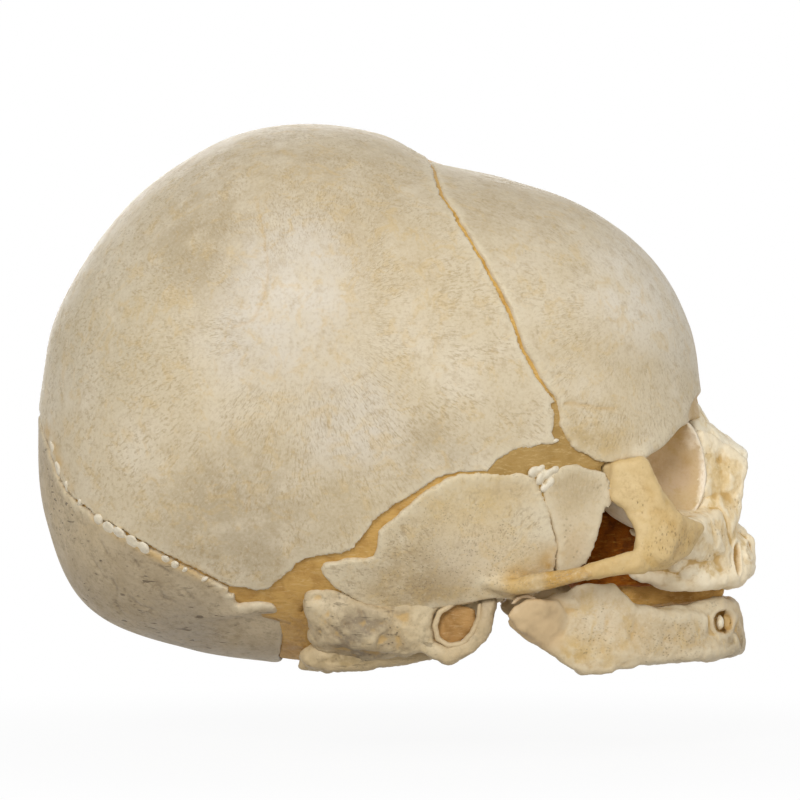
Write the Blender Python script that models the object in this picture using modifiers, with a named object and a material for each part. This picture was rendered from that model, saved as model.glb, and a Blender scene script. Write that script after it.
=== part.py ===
"""Fetal skull at term: every bone, cartilage and membrane is a separate closed solid.

The skull faces +X, its right side is at -Y, and it stands on the plane z = 0 on the angles of the
lower jaw and the edges of the lateral occipital bones. Places are shares of the skull's length,
width and height: x from the middle of the length, y from the midline, z from the resting plane.
"""
import math

import bmesh
import bpy
from mathutils import Matrix, Vector
from mathutils.bvhtree import BVHTree

# Driving sizes, in metres
SKULL_LENGTH = 0.1271
SKULL_WIDTH = 0.093
SKULL_HEIGHT = 0.096

# The vault: its wall, its joints and the lumps that it carries
VAULT_WALL = 0.0015
SUTURE_GAP = 0.0008
MIDLINE_GAP = 0.0012
FORM_POWER = 2.06
FORM_CENTRE_SHARES = (-0.123, 0.630)
PROFILE_STEP = 15
PROFILE_SHARES = (
    0.359, 0.386, 0.438, 0.519, 0.609, 0.623, 0.634, 0.715, 0.765, 0.745, 0.664, 0.569,
    0.530, 0.491, 0.440, 0.384, 0.354, 0.366, 0.372, 0.367, 0.350, 0.339, 0.333, 0.339)
PARIETAL_BOSS = 0.0012
PARIETAL_BOSS_REACH = 0.017
FRONTAL_BOSS = 0.0014
FRONTAL_BOSS_REACH = 0.012
FRONTAL_BOSS_SHARES = (0.320, 0.665)
TEMPLE_HOLLOW = 0.0036
TEMPLE_HOLLOW_REACH = 0.017
TEMPLE_HOLLOW_SHARES = (0.185, 0.300)
EAR_HOLLOW = 0.0022
EAR_HOLLOW_REACH = 0.009
EAR_HOLLOW_SHARES = (0.060, 0.085)
FORM_CUTS = 10
CUTTER_REACH_SHARE = 5
PAST_END_SHARE = 0.6
MITRE_SHARE = 0.6
OVER_MIDLINE = 0.004

# Clearances and soft tissue
PIECE_GAP = 0.00034
MEMBRANE_WALL = 0.0005
MEMBRANE_SINK = 0.0005
MEMBRANE_LAP = 0.0022
SQUAMOUS_LAP = 0.0030

# Solid bones of the face and the base
FACE_BONE = 0.002
GRAIN = 0.00042
WELD_DISTANCE = 0.0000042
SMOOTH_PASSES = 4
BALL_CUTS = 2
FAR_SIDE_SHARE = 0.107

# The jaw joint
JAW_AXIS_SHARES = (0.1715, 0.119)
CONDYLE_RADIUS = 0.0016
CONDYLE_INNER_SHARE = 0.278
CONDYLE_OUTER_SHARE = 0.335
ROLLER_SIDES = 20
DISC_WALL = 0.0007
SYMPHYSIS_WIDTH = 0.0018

# The ear ring
RING_CENTRE_SHARES = (0.0775, 0.330, 0.094)
RING_LONG = 0.0054
RING_SHORT = 0.0036
RING_TUBE = 0.0009
RING_TILT = 41
RING_LEAN = 28
RING_OPENING = 70
RING_POINTS = 18

# Tooth germs of the lower jaw, in open crypts
GERM_SHARES = (0.444, 0.112, 0.085)
CRYPT_SIZES = (0.0017, 0.0021, 0.0023)
GERM_CLEARANCE = 0.0004

# Fontanelles
FRONT_FONTANELLE_SHARE = 0.042
FRONT_FONTANELLE_LENGTHS = (0.017, 0.013)
FRONT_FONTANELLE_HALF = 0.0105
REAR_FONTANELLE_SHARE = 0.458
REAR_FONTANELLE_SIZES = (0.0058, 0.0070)
REAR_REACH_SHARE = 0.25

# Suture lines and the bones' free edges in the side view, as (x, z) shares
CORONAL_SHARES = (
    (0.031, 1.05), (0.031, 0.985), (0.037, 0.942), (0.053, 0.890), (0.060, 0.858), (0.084, 0.804),
    (0.104, 0.758), (0.115, 0.738), (0.124, 0.710), (0.143, 0.665), (0.158, 0.618), (0.166, 0.586),
    (0.190, 0.529), (0.213, 0.486))
LAMBDOID_SHARES = (
    (-0.55, 0.480), (-0.496, 0.462), (-0.491, 0.440), (-0.481, 0.412), (-0.470, 0.375), (-0.455, 0.335),
    (-0.438, 0.310), (-0.419, 0.293), (-0.390, 0.271), (-0.364, 0.252), (-0.332, 0.228),
    (-0.305, 0.210), (-0.277, 0.190), (-0.245, 0.169), (-0.224, 0.155))
BEHIND_SHARES = ((-0.6, 1.05),)
BEFORE_SHARES = ((0.7, 0.452), (0.7, 1.05))
OCCIPITAL_TOP_SHARES = ((-0.4985, 0.468), (-0.497, 0.458))
PARIETAL_FRONT_SHARES = (
    (0.206, 0.480), (0.212, 0.468), (0.209, 0.442), (0.215, 0.412), (0.195, 0.410), (0.175, 0.403),
    (0.160, 0.402), (0.135, 0.384), (0.121, 0.360))
PARIETAL_LOWER_SHARES = (
    (0.095, 0.361), (0.069, 0.356), (0.050, 0.348), (0.019, 0.320), (0.000, 0.305), (-0.029, 0.277),
    (-0.039, 0.257), (-0.049, 0.238), (-0.061, 0.221), (-0.104, 0.212), (-0.124, 0.207),
    (-0.138, 0.191), (-0.161, 0.165), (-0.175, 0.151), (-0.190, 0.148), (-0.204, 0.153))
FRONTAL_LOWER_SHARES = (
    (0.217, 0.470), (0.217, 0.449), (0.221, 0.426), (0.243, 0.396), (0.274, 0.376), (0.306, 0.376),
    (0.340, 0.388), (0.354, 0.400), (0.366, 0.416), (0.376, 0.438), (0.389, 0.466), (0.403, 0.474),
    (0.414, 0.470), (0.424, 0.452), (0.47, 0.452))
OCCIPITAL_LOWER_SHARES = (
    (-0.217, 0.143), (-0.230, 0.132), (-0.244, 0.123), (-0.220, 0.126), (-0.186, 0.131),
    (-0.164, 0.129), (-0.155, 0.110), (-0.149, 0.062), (-0.158, 0.018), (-0.160, 0.001))
SQUAMA_SHARES = (
    (0.182, 0.347), (0.155, 0.353), (0.122, 0.351), (0.089, 0.351), (0.065, 0.340), (0.040, 0.321),
    (0.009, 0.292), (-0.017, 0.266), (-0.023, 0.257), (-0.025, 0.232), (-0.029, 0.214),
    (-0.037, 0.207), (-0.071, 0.206), (-0.097, 0.197), (-0.101, 0.188), (-0.084, 0.158),
    (-0.044, 0.128), (-0.012, 0.114), (0.013, 0.108), (0.045, 0.118), (0.078, 0.127), (0.107, 0.131),
    (0.144, 0.140), (0.180, 0.155), (0.208, 0.178), (0.212, 0.205), (0.214, 0.230), (0.209, 0.254),
    (0.197, 0.295), (0.190, 0.322))
WING_SHARES = (
    (0.196, 0.341), (0.211, 0.360), (0.226, 0.372), (0.240, 0.375), (0.262, 0.366), (0.279, 0.359),
    (0.283, 0.333), (0.285, 0.315), (0.277, 0.290), (0.271, 0.258), (0.262, 0.222), (0.253, 0.200),
    (0.238, 0.186), (0.217, 0.182), (0.2185, 0.222), (0.215, 0.250), (0.203, 0.295))
MASTOID_SHARES = (
    (-0.068, 0.141), (-0.088, 0.148), (-0.117, 0.148), (-0.125, 0.136), (-0.120, 0.117),
    (-0.117, 0.080), (-0.105, 0.060), (-0.075, 0.050), (-0.019, 0.037), (0.020, 0.038),
    (0.030, 0.060), (0.020, 0.092), (-0.008, 0.102), (-0.044, 0.118))
SPHENOID_MEMBRANE_SHARES = (
    (0.103, 0.345), (0.112, 0.385), (0.150, 0.418), (0.190, 0.428), (0.224, 0.440), (0.258, 0.408),
    (0.296, 0.386), (0.266, 0.350), (0.215, 0.342), (0.190, 0.328), (0.150, 0.330))
MASTOID_MEMBRANE_SHARES = (
    (-0.250, 0.185), (-0.200, 0.172), (-0.155, 0.192), (-0.125, 0.222), (-0.085, 0.225),
    (-0.080, 0.185), (-0.100, 0.120), (-0.098, 0.070), (-0.125, 0.040), (-0.168, 0.035),
    (-0.178, 0.100), (-0.262, 0.095), (-0.262, 0.140))
SQUAMOUS_LINE_SHARES = (
    (0.100, 0.356), (0.062, 0.346), (0.034, 0.326), (0.004, 0.300), (-0.022, 0.272),
    (-0.032, 0.250), (-0.042, 0.228), (-0.062, 0.215), (-0.080, 0.209))

# Solid bones, as rounded hulls of balls: (x, y, z, radius) with the radius a share of FACE_BONE
FRONTAL_BASE_SHARES = (
    ((0.342, 0.292, 0.398, 0.35), (0.300, 0.305, 0.384, 0.35), (0.244, 0.262, 0.374, 0.3),
     (0.244, 0.150, 0.388, 0.3), (0.330, 0.129, 0.437, 0.3), (0.374, 0.204, 0.450, 0.35)),
    ((0.374, 0.204, 0.450, 0.35), (0.381, 0.204, 0.461, 0.45), (0.396, 0.148, 0.480, 0.4),
     (0.409, 0.106, 0.480, 0.5), (0.415, 0.074, 0.474, 0.5), (0.410, 0.045, 0.462, 0.5),
     (0.408, 0.028, 0.485, 0.5), (0.330, 0.129, 0.437, 0.3), (0.346, 0.085, 0.428, 0.3)),
    ((0.376, 0.212, 0.448, 0.5), (0.378, 0.217, 0.458, 0.45), (0.357, 0.266, 0.413, 0.6)),
    ((0.357, 0.266, 0.413, 0.6), (0.336, 0.306, 0.390, 0.6), (0.304, 0.322, 0.388, 0.6)))
WING_BASE_SHARES = (
    ((0.225, 0.320, 0.235, 0.8), (0.235, 0.322, 0.330, 0.6), (0.195, 0.129, 0.232, 1.3),
     (0.205, 0.097, 0.255, 1.2)),
    ((0.272, 0.322, 0.352, 0.4), (0.276, 0.322, 0.315, 0.4), (0.240, 0.150, 0.345, 0.4),
     (0.236, 0.150, 0.270, 0.4)),
    ((0.215, 0.115, 0.232, 0.8), (0.250, 0.118, 0.215, 0.6), (0.248, 0.123, 0.130, 0.5),
     (0.224, 0.130, 0.145, 0.5)),
    ((0.210, 0.120, 0.225, 0.5), (0.225, 0.312, 0.215, 0.5), (0.055, 0.292, 0.166, 0.35),
     (0.128, 0.128, 0.188, 0.35)))
PETROUS_BASE_SHARES = (
    ((-0.070, 0.268, 0.115, 1.2), (0.006, 0.268, 0.100, 1.2), (0.000, 0.262, 0.190, 1.2),
     (0.110, 0.090, 0.180, 1.2), (0.100, 0.105, 0.215, 1.0)),)
SQUAMA_PROCESS_SHARES = (
    ((0.258, 0.366, 0.185, 0.5), (0.230, 0.366, 0.177, 0.6)),
    ((0.230, 0.366, 0.177, 0.6), (0.190, 0.360, 0.165, 0.65)),
    ((0.190, 0.360, 0.165, 0.65), (0.150, 0.347, 0.160, 0.8), (0.112, 0.336, 0.166, 0.8)),
    ((0.150, 0.347, 0.160, 0.8), (0.130, 0.310, 0.150, 0.5), (0.185, 0.320, 0.158, 0.5),
     (0.190, 0.355, 0.163, 0.5)))
BASILAR_SHARES = (
    ((0.055, 0.078, 0.115, 1.0), (0.150, 0.065, 0.200, 1.3), (0.060, 0.072, 0.085, 1.0),
     (0.152, 0.060, 0.165, 1.3)),)
SPHENOID_SHARES = (
    ((0.172, 0.060, 0.235, 1.2), (0.240, 0.050, 0.260, 1.2), (0.176, 0.060, 0.205, 1.2),
     (0.240, 0.045, 0.222, 1.2)),
    ((0.222, 0.020, 0.270, 1.3), (0.240, 0.020, 0.350, 0.7)),
    ((0.240, 0.010, 0.352, 0.6), (0.226, 0.030, 0.352, 0.6), (0.212, 0.235, 0.368, 0.35),
     (0.200, 0.205, 0.362, 0.35)))
ETHMOID_SHARES = (
    ((0.290, 0.058, 0.390, 0.5), (0.372, 0.058, 0.404, 0.5), (0.300, 0.078, 0.305, 0.5),
     (0.366, 0.078, 0.305, 0.5)),
    ((0.290, 0.006, 0.392, 0.4), (0.384, 0.006, 0.404, 0.4), (0.290, 0.058, 0.390, 0.4),
     (0.384, 0.058, 0.404, 0.4)),
    ((0.290, 0.002, 0.385, 0.35), (0.410, 0.002, 0.395, 0.35), (0.410, 0.002, 0.310, 0.35),
     (0.290, 0.002, 0.282, 0.35)))
VOMER_SHARES = (
    ((0.246, 0.004, 0.190, 0.35), (0.400, 0.002, 0.296, 0.3), (0.440, 0.002, 0.222, 0.35),
     (0.345, 0.002, 0.210, 0.35)),)
LATERAL_SHARES = (
    ((-0.128, 0.115, 0.024, 0.55), (-0.122, 0.215, 0.027, 0.5), (-0.016, 0.246, 0.043, 0.5),
     (0.030, 0.230, 0.048, 0.5), (0.050, 0.108, 0.083, 0.5), (-0.047, 0.102, 0.034, 0.5)),
    ((0.012, 0.118, 0.036, 0.85), (-0.055, 0.124, 0.024, 0.8)),
    ((-0.131, 0.172, 0.0072, 0.5), (-0.092, 0.183, 0.0072, 0.5), (-0.110, 0.178, 0.030, 0.5)))
MAXILLA_SHARES = (
    ((0.362, 0.212, 0.219, 0.8), (0.392, 0.190, 0.248, 0.5), (0.433, 0.118, 0.252, 0.5),
     (0.440, 0.097, 0.219, 1.0), (0.378, 0.161, 0.192, 1.0), (0.346, 0.172, 0.200, 0.75)),
    ((0.490, 0.030, 0.183, 0.6), (0.476, 0.075, 0.174, 0.9)),
    ((0.476, 0.075, 0.174, 0.9), (0.452, 0.118, 0.168, 1.0), (0.450, 0.100, 0.215, 0.8)),
    ((0.452, 0.118, 0.168, 1.0), (0.417, 0.156, 0.165, 1.0), (0.420, 0.130, 0.215, 0.8)),
    ((0.417, 0.156, 0.165, 1.0), (0.374, 0.172, 0.165, 0.95), (0.342, 0.172, 0.174, 0.8)),
    ((0.488, 0.026, 0.188, 0.6), (0.477, 0.070, 0.208, 0.6), (0.480, 0.020, 0.232, 0.4),
     (0.464, 0.070, 0.238, 0.5), (0.450, 0.095, 0.200, 0.9)),
    ((0.410, 0.088, 0.428, 0.4), (0.428, 0.070, 0.418, 0.4), (0.470, 0.067, 0.358, 0.35),
     (0.477, 0.066, 0.334, 0.35), (0.470, 0.070, 0.300, 0.4), (0.407, 0.098, 0.340, 0.35)),
    ((0.477, 0.066, 0.334, 0.35), (0.470, 0.070, 0.300, 0.4), (0.463, 0.073, 0.255, 0.5),
     (0.420, 0.106, 0.262, 0.5), (0.407, 0.098, 0.340, 0.35)),
    ((0.346, 0.172, 0.200, 0.75), (0.316, 0.130, 0.245, 0.5), (0.320, 0.140, 0.190, 0.7),
     (0.366, 0.150, 0.245, 0.6)),
    ((0.462, 0.073, 0.262, 0.5), (0.452, 0.096, 0.215, 0.9), (0.433, 0.118, 0.246, 0.6)),
    ((0.472, 0.012, 0.190, 0.4), (0.366, 0.012, 0.190, 0.4), (0.366, 0.150, 0.182, 0.4),
     (0.450, 0.100, 0.182, 0.4)),
    ((0.425, 0.112, 0.262, 0.35), (0.382, 0.212, 0.246, 0.35), (0.308, 0.155, 0.252, 0.3),
     (0.308, 0.100, 0.262, 0.3)))
ZYGOMATIC_SHARES = (
    ((0.300, 0.322, 0.358, 0.45), (0.328, 0.324, 0.366, 0.45), (0.302, 0.318, 0.316, 0.45),
     (0.353, 0.314, 0.318, 0.5)),
    ((0.302, 0.318, 0.316, 0.45), (0.353, 0.314, 0.318, 0.5), (0.328, 0.330, 0.262, 0.55),
     (0.376, 0.290, 0.282, 0.5)),
    ((0.328, 0.330, 0.262, 0.55), (0.376, 0.290, 0.282, 0.5), (0.326, 0.328, 0.198, 0.6),
     (0.360, 0.296, 0.204, 0.65), (0.400, 0.237, 0.258, 0.45), (0.388, 0.247, 0.236, 0.5)),
    ((0.330, 0.331, 0.193, 0.5), (0.330, 0.333, 0.219, 0.45), (0.287, 0.357, 0.207, 0.4),
     (0.286, 0.357, 0.190, 0.4)),
    ((0.287, 0.357, 0.207, 0.4), (0.286, 0.357, 0.190, 0.4), (0.264, 0.364, 0.194, 0.4),
     (0.264, 0.364, 0.186, 0.4)))
PALATINE_SHARES = (
    ((0.350, 0.012, 0.190, 0.35), (0.302, 0.012, 0.195, 0.35), (0.302, 0.095, 0.192, 0.35),
     (0.350, 0.105, 0.190, 0.35)),
    ((0.318, 0.100, 0.192, 0.4), (0.284, 0.102, 0.195, 0.4), (0.295, 0.095, 0.270, 0.35),
     (0.322, 0.095, 0.262, 0.35)))
NASAL_SHARES = (
    ((0.430, 0.012, 0.443, 0.34), (0.425, 0.052, 0.430, 0.34), (0.482, 0.014, 0.380, 0.34),
     (0.472, 0.052, 0.368, 0.34)),)
LACRIMAL_SHARES = (
    ((0.376, 0.098, 0.312, 0.3), (0.408, 0.102, 0.318, 0.3), (0.402, 0.094, 0.382, 0.3),
     (0.376, 0.094, 0.384, 0.3)),)
CONCHA_SHARES = (
    ((0.322, 0.080, 0.262, 0.3), (0.440, 0.076, 0.270, 0.3), (0.322, 0.044, 0.230, 0.3),
     (0.432, 0.042, 0.238, 0.3)),)
MANDIBLE_SHARES = (
    ((0.1715, 0.305, 0.110, 0.7), (0.155, 0.302, 0.096, 0.6), (0.178, 0.300, 0.072, 0.6),
     (0.216, 0.290, 0.126, 0.5), (0.222, 0.284, 0.046, 0.65)),
    ((0.222, 0.284, 0.046, 0.65), (0.216, 0.290, 0.126, 0.45), (0.246, 0.284, 0.156, 0.45),
     (0.290, 0.270, 0.155, 0.45), (0.317, 0.245, 0.118, 0.6), (0.300, 0.250, 0.034, 0.8),
     (0.250, 0.268, 0.0125, 0.75)),
    ((0.247, 0.266, 0.0125, 0.75), (0.286, 0.255, 0.0125, 0.75), (0.290, 0.250, 0.050, 0.8)),
    ((0.299, 0.245, 0.034, 1.1), (0.299, 0.245, 0.098, 0.95), (0.354, 0.199, 0.037, 1.1),
     (0.354, 0.199, 0.098, 1.0)),
    ((0.354, 0.199, 0.037, 1.1), (0.354, 0.199, 0.098, 1.0), (0.401, 0.151, 0.036, 1.1),
     (0.401, 0.151, 0.101, 1.0)),
    ((0.401, 0.151, 0.036, 1.1), (0.401, 0.151, 0.101, 1.0), (0.441, 0.097, 0.036, 1.1),
     (0.439, 0.097, 0.113, 1.05)),
    ((0.441, 0.097, 0.036, 1.1), (0.439, 0.097, 0.113, 1.05), (0.467, 0.045, 0.042, 1.1),
     (0.461, 0.045, 0.107, 1.0)),
    ((0.467, 0.045, 0.042, 1.1), (0.461, 0.045, 0.107, 1.0), (0.471, 0.0, 0.046, 1.1),
     (0.463, 0.0, 0.107, 1.0)))
SYMPHYSIS_SHARES = (
    ((0.463, 0.0, 0.045, 1.1), (0.470, 0.0, 0.046, 1.1), (0.463, 0.0, 0.107, 1.0),
     (0.455, 0.0, 0.090, 1.0)),)

# Triangles that each melted form keeps
FORM_TRIANGLES = {
    "frontal": 300, "wing": 300, "petrous": 220, "process": 200, "basilar": 150, "sphenoid": 360,
    "ethmoid": 260, "vomer": 90, "lateral": 220, "maxilla": 580, "zygomatic": 300, "palatine": 160,
    "nasal": 80, "lacrimal": 60, "concha": 70, "mandible": 580, "symphysis": 90}

# Colours: name, red, green, blue, roughness
BONE = ("ivory_bone", (0.72, 0.62, 0.44), 0.55)
FACE = ("cream_bone", (0.76, 0.66, 0.47), 0.5)
BASE = ("brown_bone", (0.56, 0.46, 0.30), 0.6)
MEMBRANE = ("dried_membrane", (0.50, 0.33, 0.13), 0.35)
CARTILAGE = ("dried_cartilage", (0.72, 0.58, 0.42), 0.3)
ENAMEL = ("tooth_germ", (0.78, 0.66, 0.45), 0.35)

PARTS = None
CUTTERS = None
MADE = []


def clear_scene():
    for item in list(bpy.data.objects):
        bpy.data.objects.remove(item)


def collection(name):
    made = bpy.data.collections.new(name)
    bpy.context.scene.collection.children.link(made)
    return made


def place(x, y, z):
    """A point of the right side from its shares."""
    return Vector((x * SKULL_LENGTH, -y * SKULL_WIDTH, z * SKULL_HEIGHT))


def paint(item, finish):
    """Gives an object its own material from a named finish."""
    name, colour, roughness = finish
    material = bpy.data.materials.new(name + "_" + item.name)
    material.use_nodes = True
    shader = material.node_tree.nodes["Principled BSDF"]
    shader.inputs["Base Color"].default_value = (*colour, 1.0)
    shader.inputs["Roughness"].default_value = roughness
    shader.inputs["Metallic"].default_value = 0.0
    material.diffuse_color = (*colour, 1.0)
    item.data.materials.clear()
    item.data.materials.append(material)


def add_object(name, bm, where):
    mesh = bpy.data.meshes.new(name)
    bm.to_mesh(mesh)
    bm.free()
    item = bpy.data.objects.new(name, mesh)
    where.objects.link(item)
    return item


def settle(item):
    """Applies an object's modifiers to its mesh."""
    graph = bpy.context.evaluated_depsgraph_get()
    mesh = bpy.data.meshes.new_from_object(item.evaluated_get(graph))
    item.modifiers.clear()
    item.data = mesh


def remove(item):
    bpy.data.objects.remove(item)


def weld(item):
    """Joins the loose caps of a tube to its wall."""
    bm = bmesh.new()
    bm.from_mesh(item.data)
    bmesh.ops.remove_doubles(bm, verts=bm.verts[:], dist=WELD_DISTANCE)
    bm.to_mesh(item.data)
    bm.free()


def is_closed(item):
    """True where each edge of a mesh joins exactly two faces."""
    uses = {}
    for face in item.data.polygons:
        for key in face.edge_keys:
            uses[key] = uses.get(key, 0) + 1
    return all(count == 2 for count in uses.values())


def dissolve_midpoints(bm):
    """Removes the vertices that a cut leaves in the middle of a straight edge."""
    spare = [vert for vert in bm.verts if len(vert.link_edges) == 2]
    bmesh.ops.dissolve_verts(bm, verts=spare)


def combine(item, other, operation, keep=False):
    """Unites, cuts or intersects an object with another one, which is then removed."""
    before = item.data
    for solver in ("EXACT", "MANIFOLD"):
        item.data = before
        boolean = item.modifiers.new(operation.lower(), "BOOLEAN")
        boolean.operation = operation
        boolean.solver = solver
        boolean.object = other
        settle(item)
        if is_closed(item):
            break
    bm = bmesh.new()
    bm.from_mesh(item.data)
    dissolve_midpoints(bm)
    bm.to_mesh(item.data)
    bm.free()
    if not keep:
        remove(other)


def profile_share(angle):
    """Radius of the head's side outline at an angle, by a closed curve through the table."""
    count = len(PROFILE_SHARES)
    turn = (math.degrees(angle) + 180) / PROFILE_STEP
    index = math.floor(turn)
    part = turn - index
    before, start, end, after = (PROFILE_SHARES[(index + k) % count] for k in (-1, 0, 1, 2))
    return 0.5 * (2 * start + (end - before) * part
                  + (2 * before - 5 * start + 4 * end - after) * part ** 2
                  + (3 * start - before - 3 * end + after) * part ** 3)


def lump(point, x_share, z_share, reach):
    """Strength of a lump or hollow at a point, fading with distance in the side view."""
    away = math.hypot(point.x - x_share * SKULL_LENGTH, point.z - z_share * SKULL_HEIGHT)
    return math.exp(-(away / reach) ** 2)


def raised(point):
    """How far the lumps push the side out, and the hollows draw it in, at a place."""
    lumps = ((PARIETAL_BOSS, PARIETAL_BOSS_REACH, FORM_CENTRE_SHARES),
             (FRONTAL_BOSS, FRONTAL_BOSS_REACH, FRONTAL_BOSS_SHARES),
             (-TEMPLE_HOLLOW, TEMPLE_HOLLOW_REACH, TEMPLE_HOLLOW_SHARES),
             (-EAR_HOLLOW, EAR_HOLLOW_REACH, EAR_HOLLOW_SHARES))
    return sum(height * lump(point, *shares, reach) for height, reach, shares in lumps)


def form_point(direction):
    """Moves a point of the unit sphere to the outside of the head."""
    reach = math.hypot(direction.x, direction.z)
    side = abs(direction.y)
    stretch = (reach ** FORM_POWER + side ** FORM_POWER) ** (-1 / FORM_POWER)
    angle = math.atan2(direction.z, direction.x)
    radius = profile_share(angle) * reach * stretch
    half = SKULL_WIDTH / 2 - PARIETAL_BOSS
    point = Vector(((FORM_CENTRE_SHARES[0] + radius * math.cos(angle)) * SKULL_LENGTH, 0,
                    (FORM_CENTRE_SHARES[1] + radius * math.sin(angle)) * SKULL_HEIGHT))
    point.y = side * (stretch * half + raised(point))
    if direction.y < 0:
        point.y = -point.y
    return point


def form_shell(name, depth, wall):
    """A closed shell of the head's form, whose outer face lies at a depth below the surface."""
    bm = bmesh.new()
    bmesh.ops.create_cube(bm, size=2)
    bmesh.ops.subdivide_edges(bm, edges=bm.edges[:], cuts=FORM_CUTS, use_grid_fill=True)
    for vert in bm.verts:
        spread = Vector([math.tan(c * math.pi / 4) for c in vert.co])
        vert.co = form_point(spread.normalized())
    bmesh.ops.recalc_face_normals(bm, faces=bm.faces[:])
    item = add_object(name, bm, CUTTERS)
    if depth:
        sink = item.modifiers.new("sink", "DISPLACE")
        sink.strength = -depth
        sink.mid_level = 0
    solid = item.modifiers.new("wall", "SOLIDIFY")
    solid.thickness = wall
    solid.offset = -1
    settle(item)
    return item


def form_centre():
    return Vector((FORM_CENTRE_SHARES[0] * SKULL_LENGTH, 0, FORM_CENTRE_SHARES[1] * SKULL_HEIGHT))


def on_surface(x_share, z_share):
    """The point of the right side's surface at a place of the side view.

    A place outside the head's outline becomes a point just past the midline.
    """
    across = x_share - FORM_CENTRE_SHARES[0]
    up = z_share - FORM_CENTRE_SHARES[1]
    reach = math.hypot(across, up) / profile_share(math.atan2(up, across))
    spot = Vector((x_share * SKULL_LENGTH, OVER_MIDLINE, z_share * SKULL_HEIGHT))
    if reach < 1:
        side = (1 - reach ** FORM_POWER) ** (1 / FORM_POWER)
        spot.y = -side * (SKULL_WIDTH / 2 - PARIETAL_BOSS + raised(spot))
    return spot


def ring_of(shares):
    return [on_surface(x, z) for x, z in shares]


def both_ways(ring):
    """Closes a line that runs from midline to midline with its mirror image."""
    return ring + [Vector((spot.x, -spot.y, spot.z)) for spot in reversed(ring)]


def inset_ring(ring, inset):
    """Moves a closed outline on the surface inwards by a distance."""
    centre = form_centre()
    middle = sum(ring, Vector()) / len(ring) - centre
    following = ring[1:] + ring[:1]
    winding = sum((a - centre).cross(b - centre).dot(middle) for a, b in zip(ring, following))
    turn = 1 if winding > 0 else -1
    moved = []
    for index, here in enumerate(ring):
        out = (here - centre).normalized()
        before = out.cross(here - ring[index - 1]).normalized() * turn
        after = out.cross(following[index] - here).normalized() * turn
        way = (before + after).normalized()
        moved.append(here + way * inset / max(way.dot(before), MITRE_SHARE))
    return moved


def cone(name, ring, strip=False):
    """A cutter whose walls run from the head's centre through an outline on its surface.

    The outline of a strip is the two long sides of a line, joined like a ladder.
    """
    centre = form_centre()
    bm = bmesh.new()
    far = CUTTER_REACH_SHARE * SKULL_LENGTH
    rim = [bm.verts.new(centre + (spot - centre).normalized() * far) for spot in ring]
    if strip:
        half = len(rim) // 2
        for side in (rim[:half], rim[half:]):
            for pair_of_ends in zip(side, side[1:]):
                bm.edges.new(pair_of_ends)
        cap = bmesh.ops.bridge_loops(bm, edges=bm.edges[:])["faces"]
    else:
        cap = bmesh.ops.contextual_create(bm, geom=rim)["faces"]
    border = [edge for edge in bm.edges if edge.is_boundary]
    walls = bmesh.ops.extrude_edge_only(bm, edges=border)["geom"]
    tip = [part for part in walls if isinstance(part, bmesh.types.BMVert)]
    bmesh.ops.pointmerge(bm, verts=tip, merge_co=centre)
    bmesh.ops.triangulate(bm, faces=cap)
    bmesh.ops.recalc_face_normals(bm, faces=bm.faces[:])
    return cutter(name, bm)


def cutter(name, bm):
    item = add_object(name, bm, CUTTERS)
    item.hide_render = True
    item.display_type = "WIRE"
    return item


def prism(name, points, axis, start, end):
    """Extrudes a flat outline along y (outline in x and z), z (in x and y) or x (in y and z)."""
    bm = bmesh.new()
    for a, b in points:
        spot = {"y": (a, start, b), "z": (a, b, start), "x": (start, a, b)}[axis]
        bm.verts.new(spot)
    face = bmesh.ops.contextual_create(bm, geom=bm.verts[:])["faces"]
    made = bmesh.ops.extrude_face_region(bm, geom=face)
    shift = {"y": (0, end - start, 0), "z": (0, 0, end - start), "x": (end - start, 0, 0)}[axis]
    lifted = [part for part in made["geom"] if isinstance(part, bmesh.types.BMVert)]
    bmesh.ops.translate(bm, verts=lifted, vec=Vector(shift))
    bmesh.ops.recalc_face_normals(bm, faces=bm.faces[:])
    return cutter(name, bm)


def softened(line):
    """Rounds off a line's corners by the mean of each point and its neighbours."""
    inner = [(a + 2 * b + c) / 4 for a, b, c in zip(line, line[1:], line[2:])]
    return line[:1] + inner + line[-1:]


def band(shares, half):
    """Outline on the surface of a strip that follows a line of the side view."""
    centre = form_centre()
    line = softened(softened(ring_of(shares)))
    sides = []
    for index, here in enumerate(line):
        ahead = line[min(index + 1, len(line) - 1)] - line[max(index - 1, 0)]
        across = (here - centre).cross(ahead).normalized() * half
        sides.append((here + across, here - across))
    return [side[0] for side in sides] + [side[1] for side in reversed(sides)]


def keep_largest(item):
    """Deletes every separate crumb but the largest body."""
    bm = bmesh.new()
    bm.from_mesh(item.data)
    left = set(bm.verts)
    islands = []
    while left:
        queue = [left.pop()]
        island = set(queue)
        while queue:
            for edge in queue.pop().link_edges:
                for vert in edge.verts:
                    if vert in left:
                        left.remove(vert)
                        island.add(vert)
                        queue.append(vert)
        islands.append(island)
    islands.sort(key=island_volume, reverse=True)
    for island in islands[1:]:
        bmesh.ops.delete(bm, geom=list(island), context="VERTS")
    bm.to_mesh(item.data)
    bm.free()


def island_volume(island):
    """Volume inside the faces of one island of vertices."""
    total = 0
    for face in {face for vert in island for face in vert.link_faces}:
        anchor = face.verts[0].co
        for one, two in zip(face.verts[1:], face.verts[2:]):
            total += anchor.dot(one.co.cross(two.co)) / 6
    return total


def inflated(item, gap):
    """A slightly larger copy of a finished piece, for cutting its neighbours."""
    copy = bpy.data.objects.new(item.name + "_clearance", item.data.copy())
    CUTTERS.objects.link(copy)
    swell = copy.modifiers.new("swell", "DISPLACE")
    swell.strength = gap
    swell.mid_level = 0
    settle(copy)
    return copy


def box_of(item):
    spots = [vert.co for vert in item.data.vertices]
    low = Vector([min(spot[k] for spot in spots) for k in range(3)])
    high = Vector([max(spot[k] for spot in spots) for k in range(3)])
    return low, high


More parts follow.
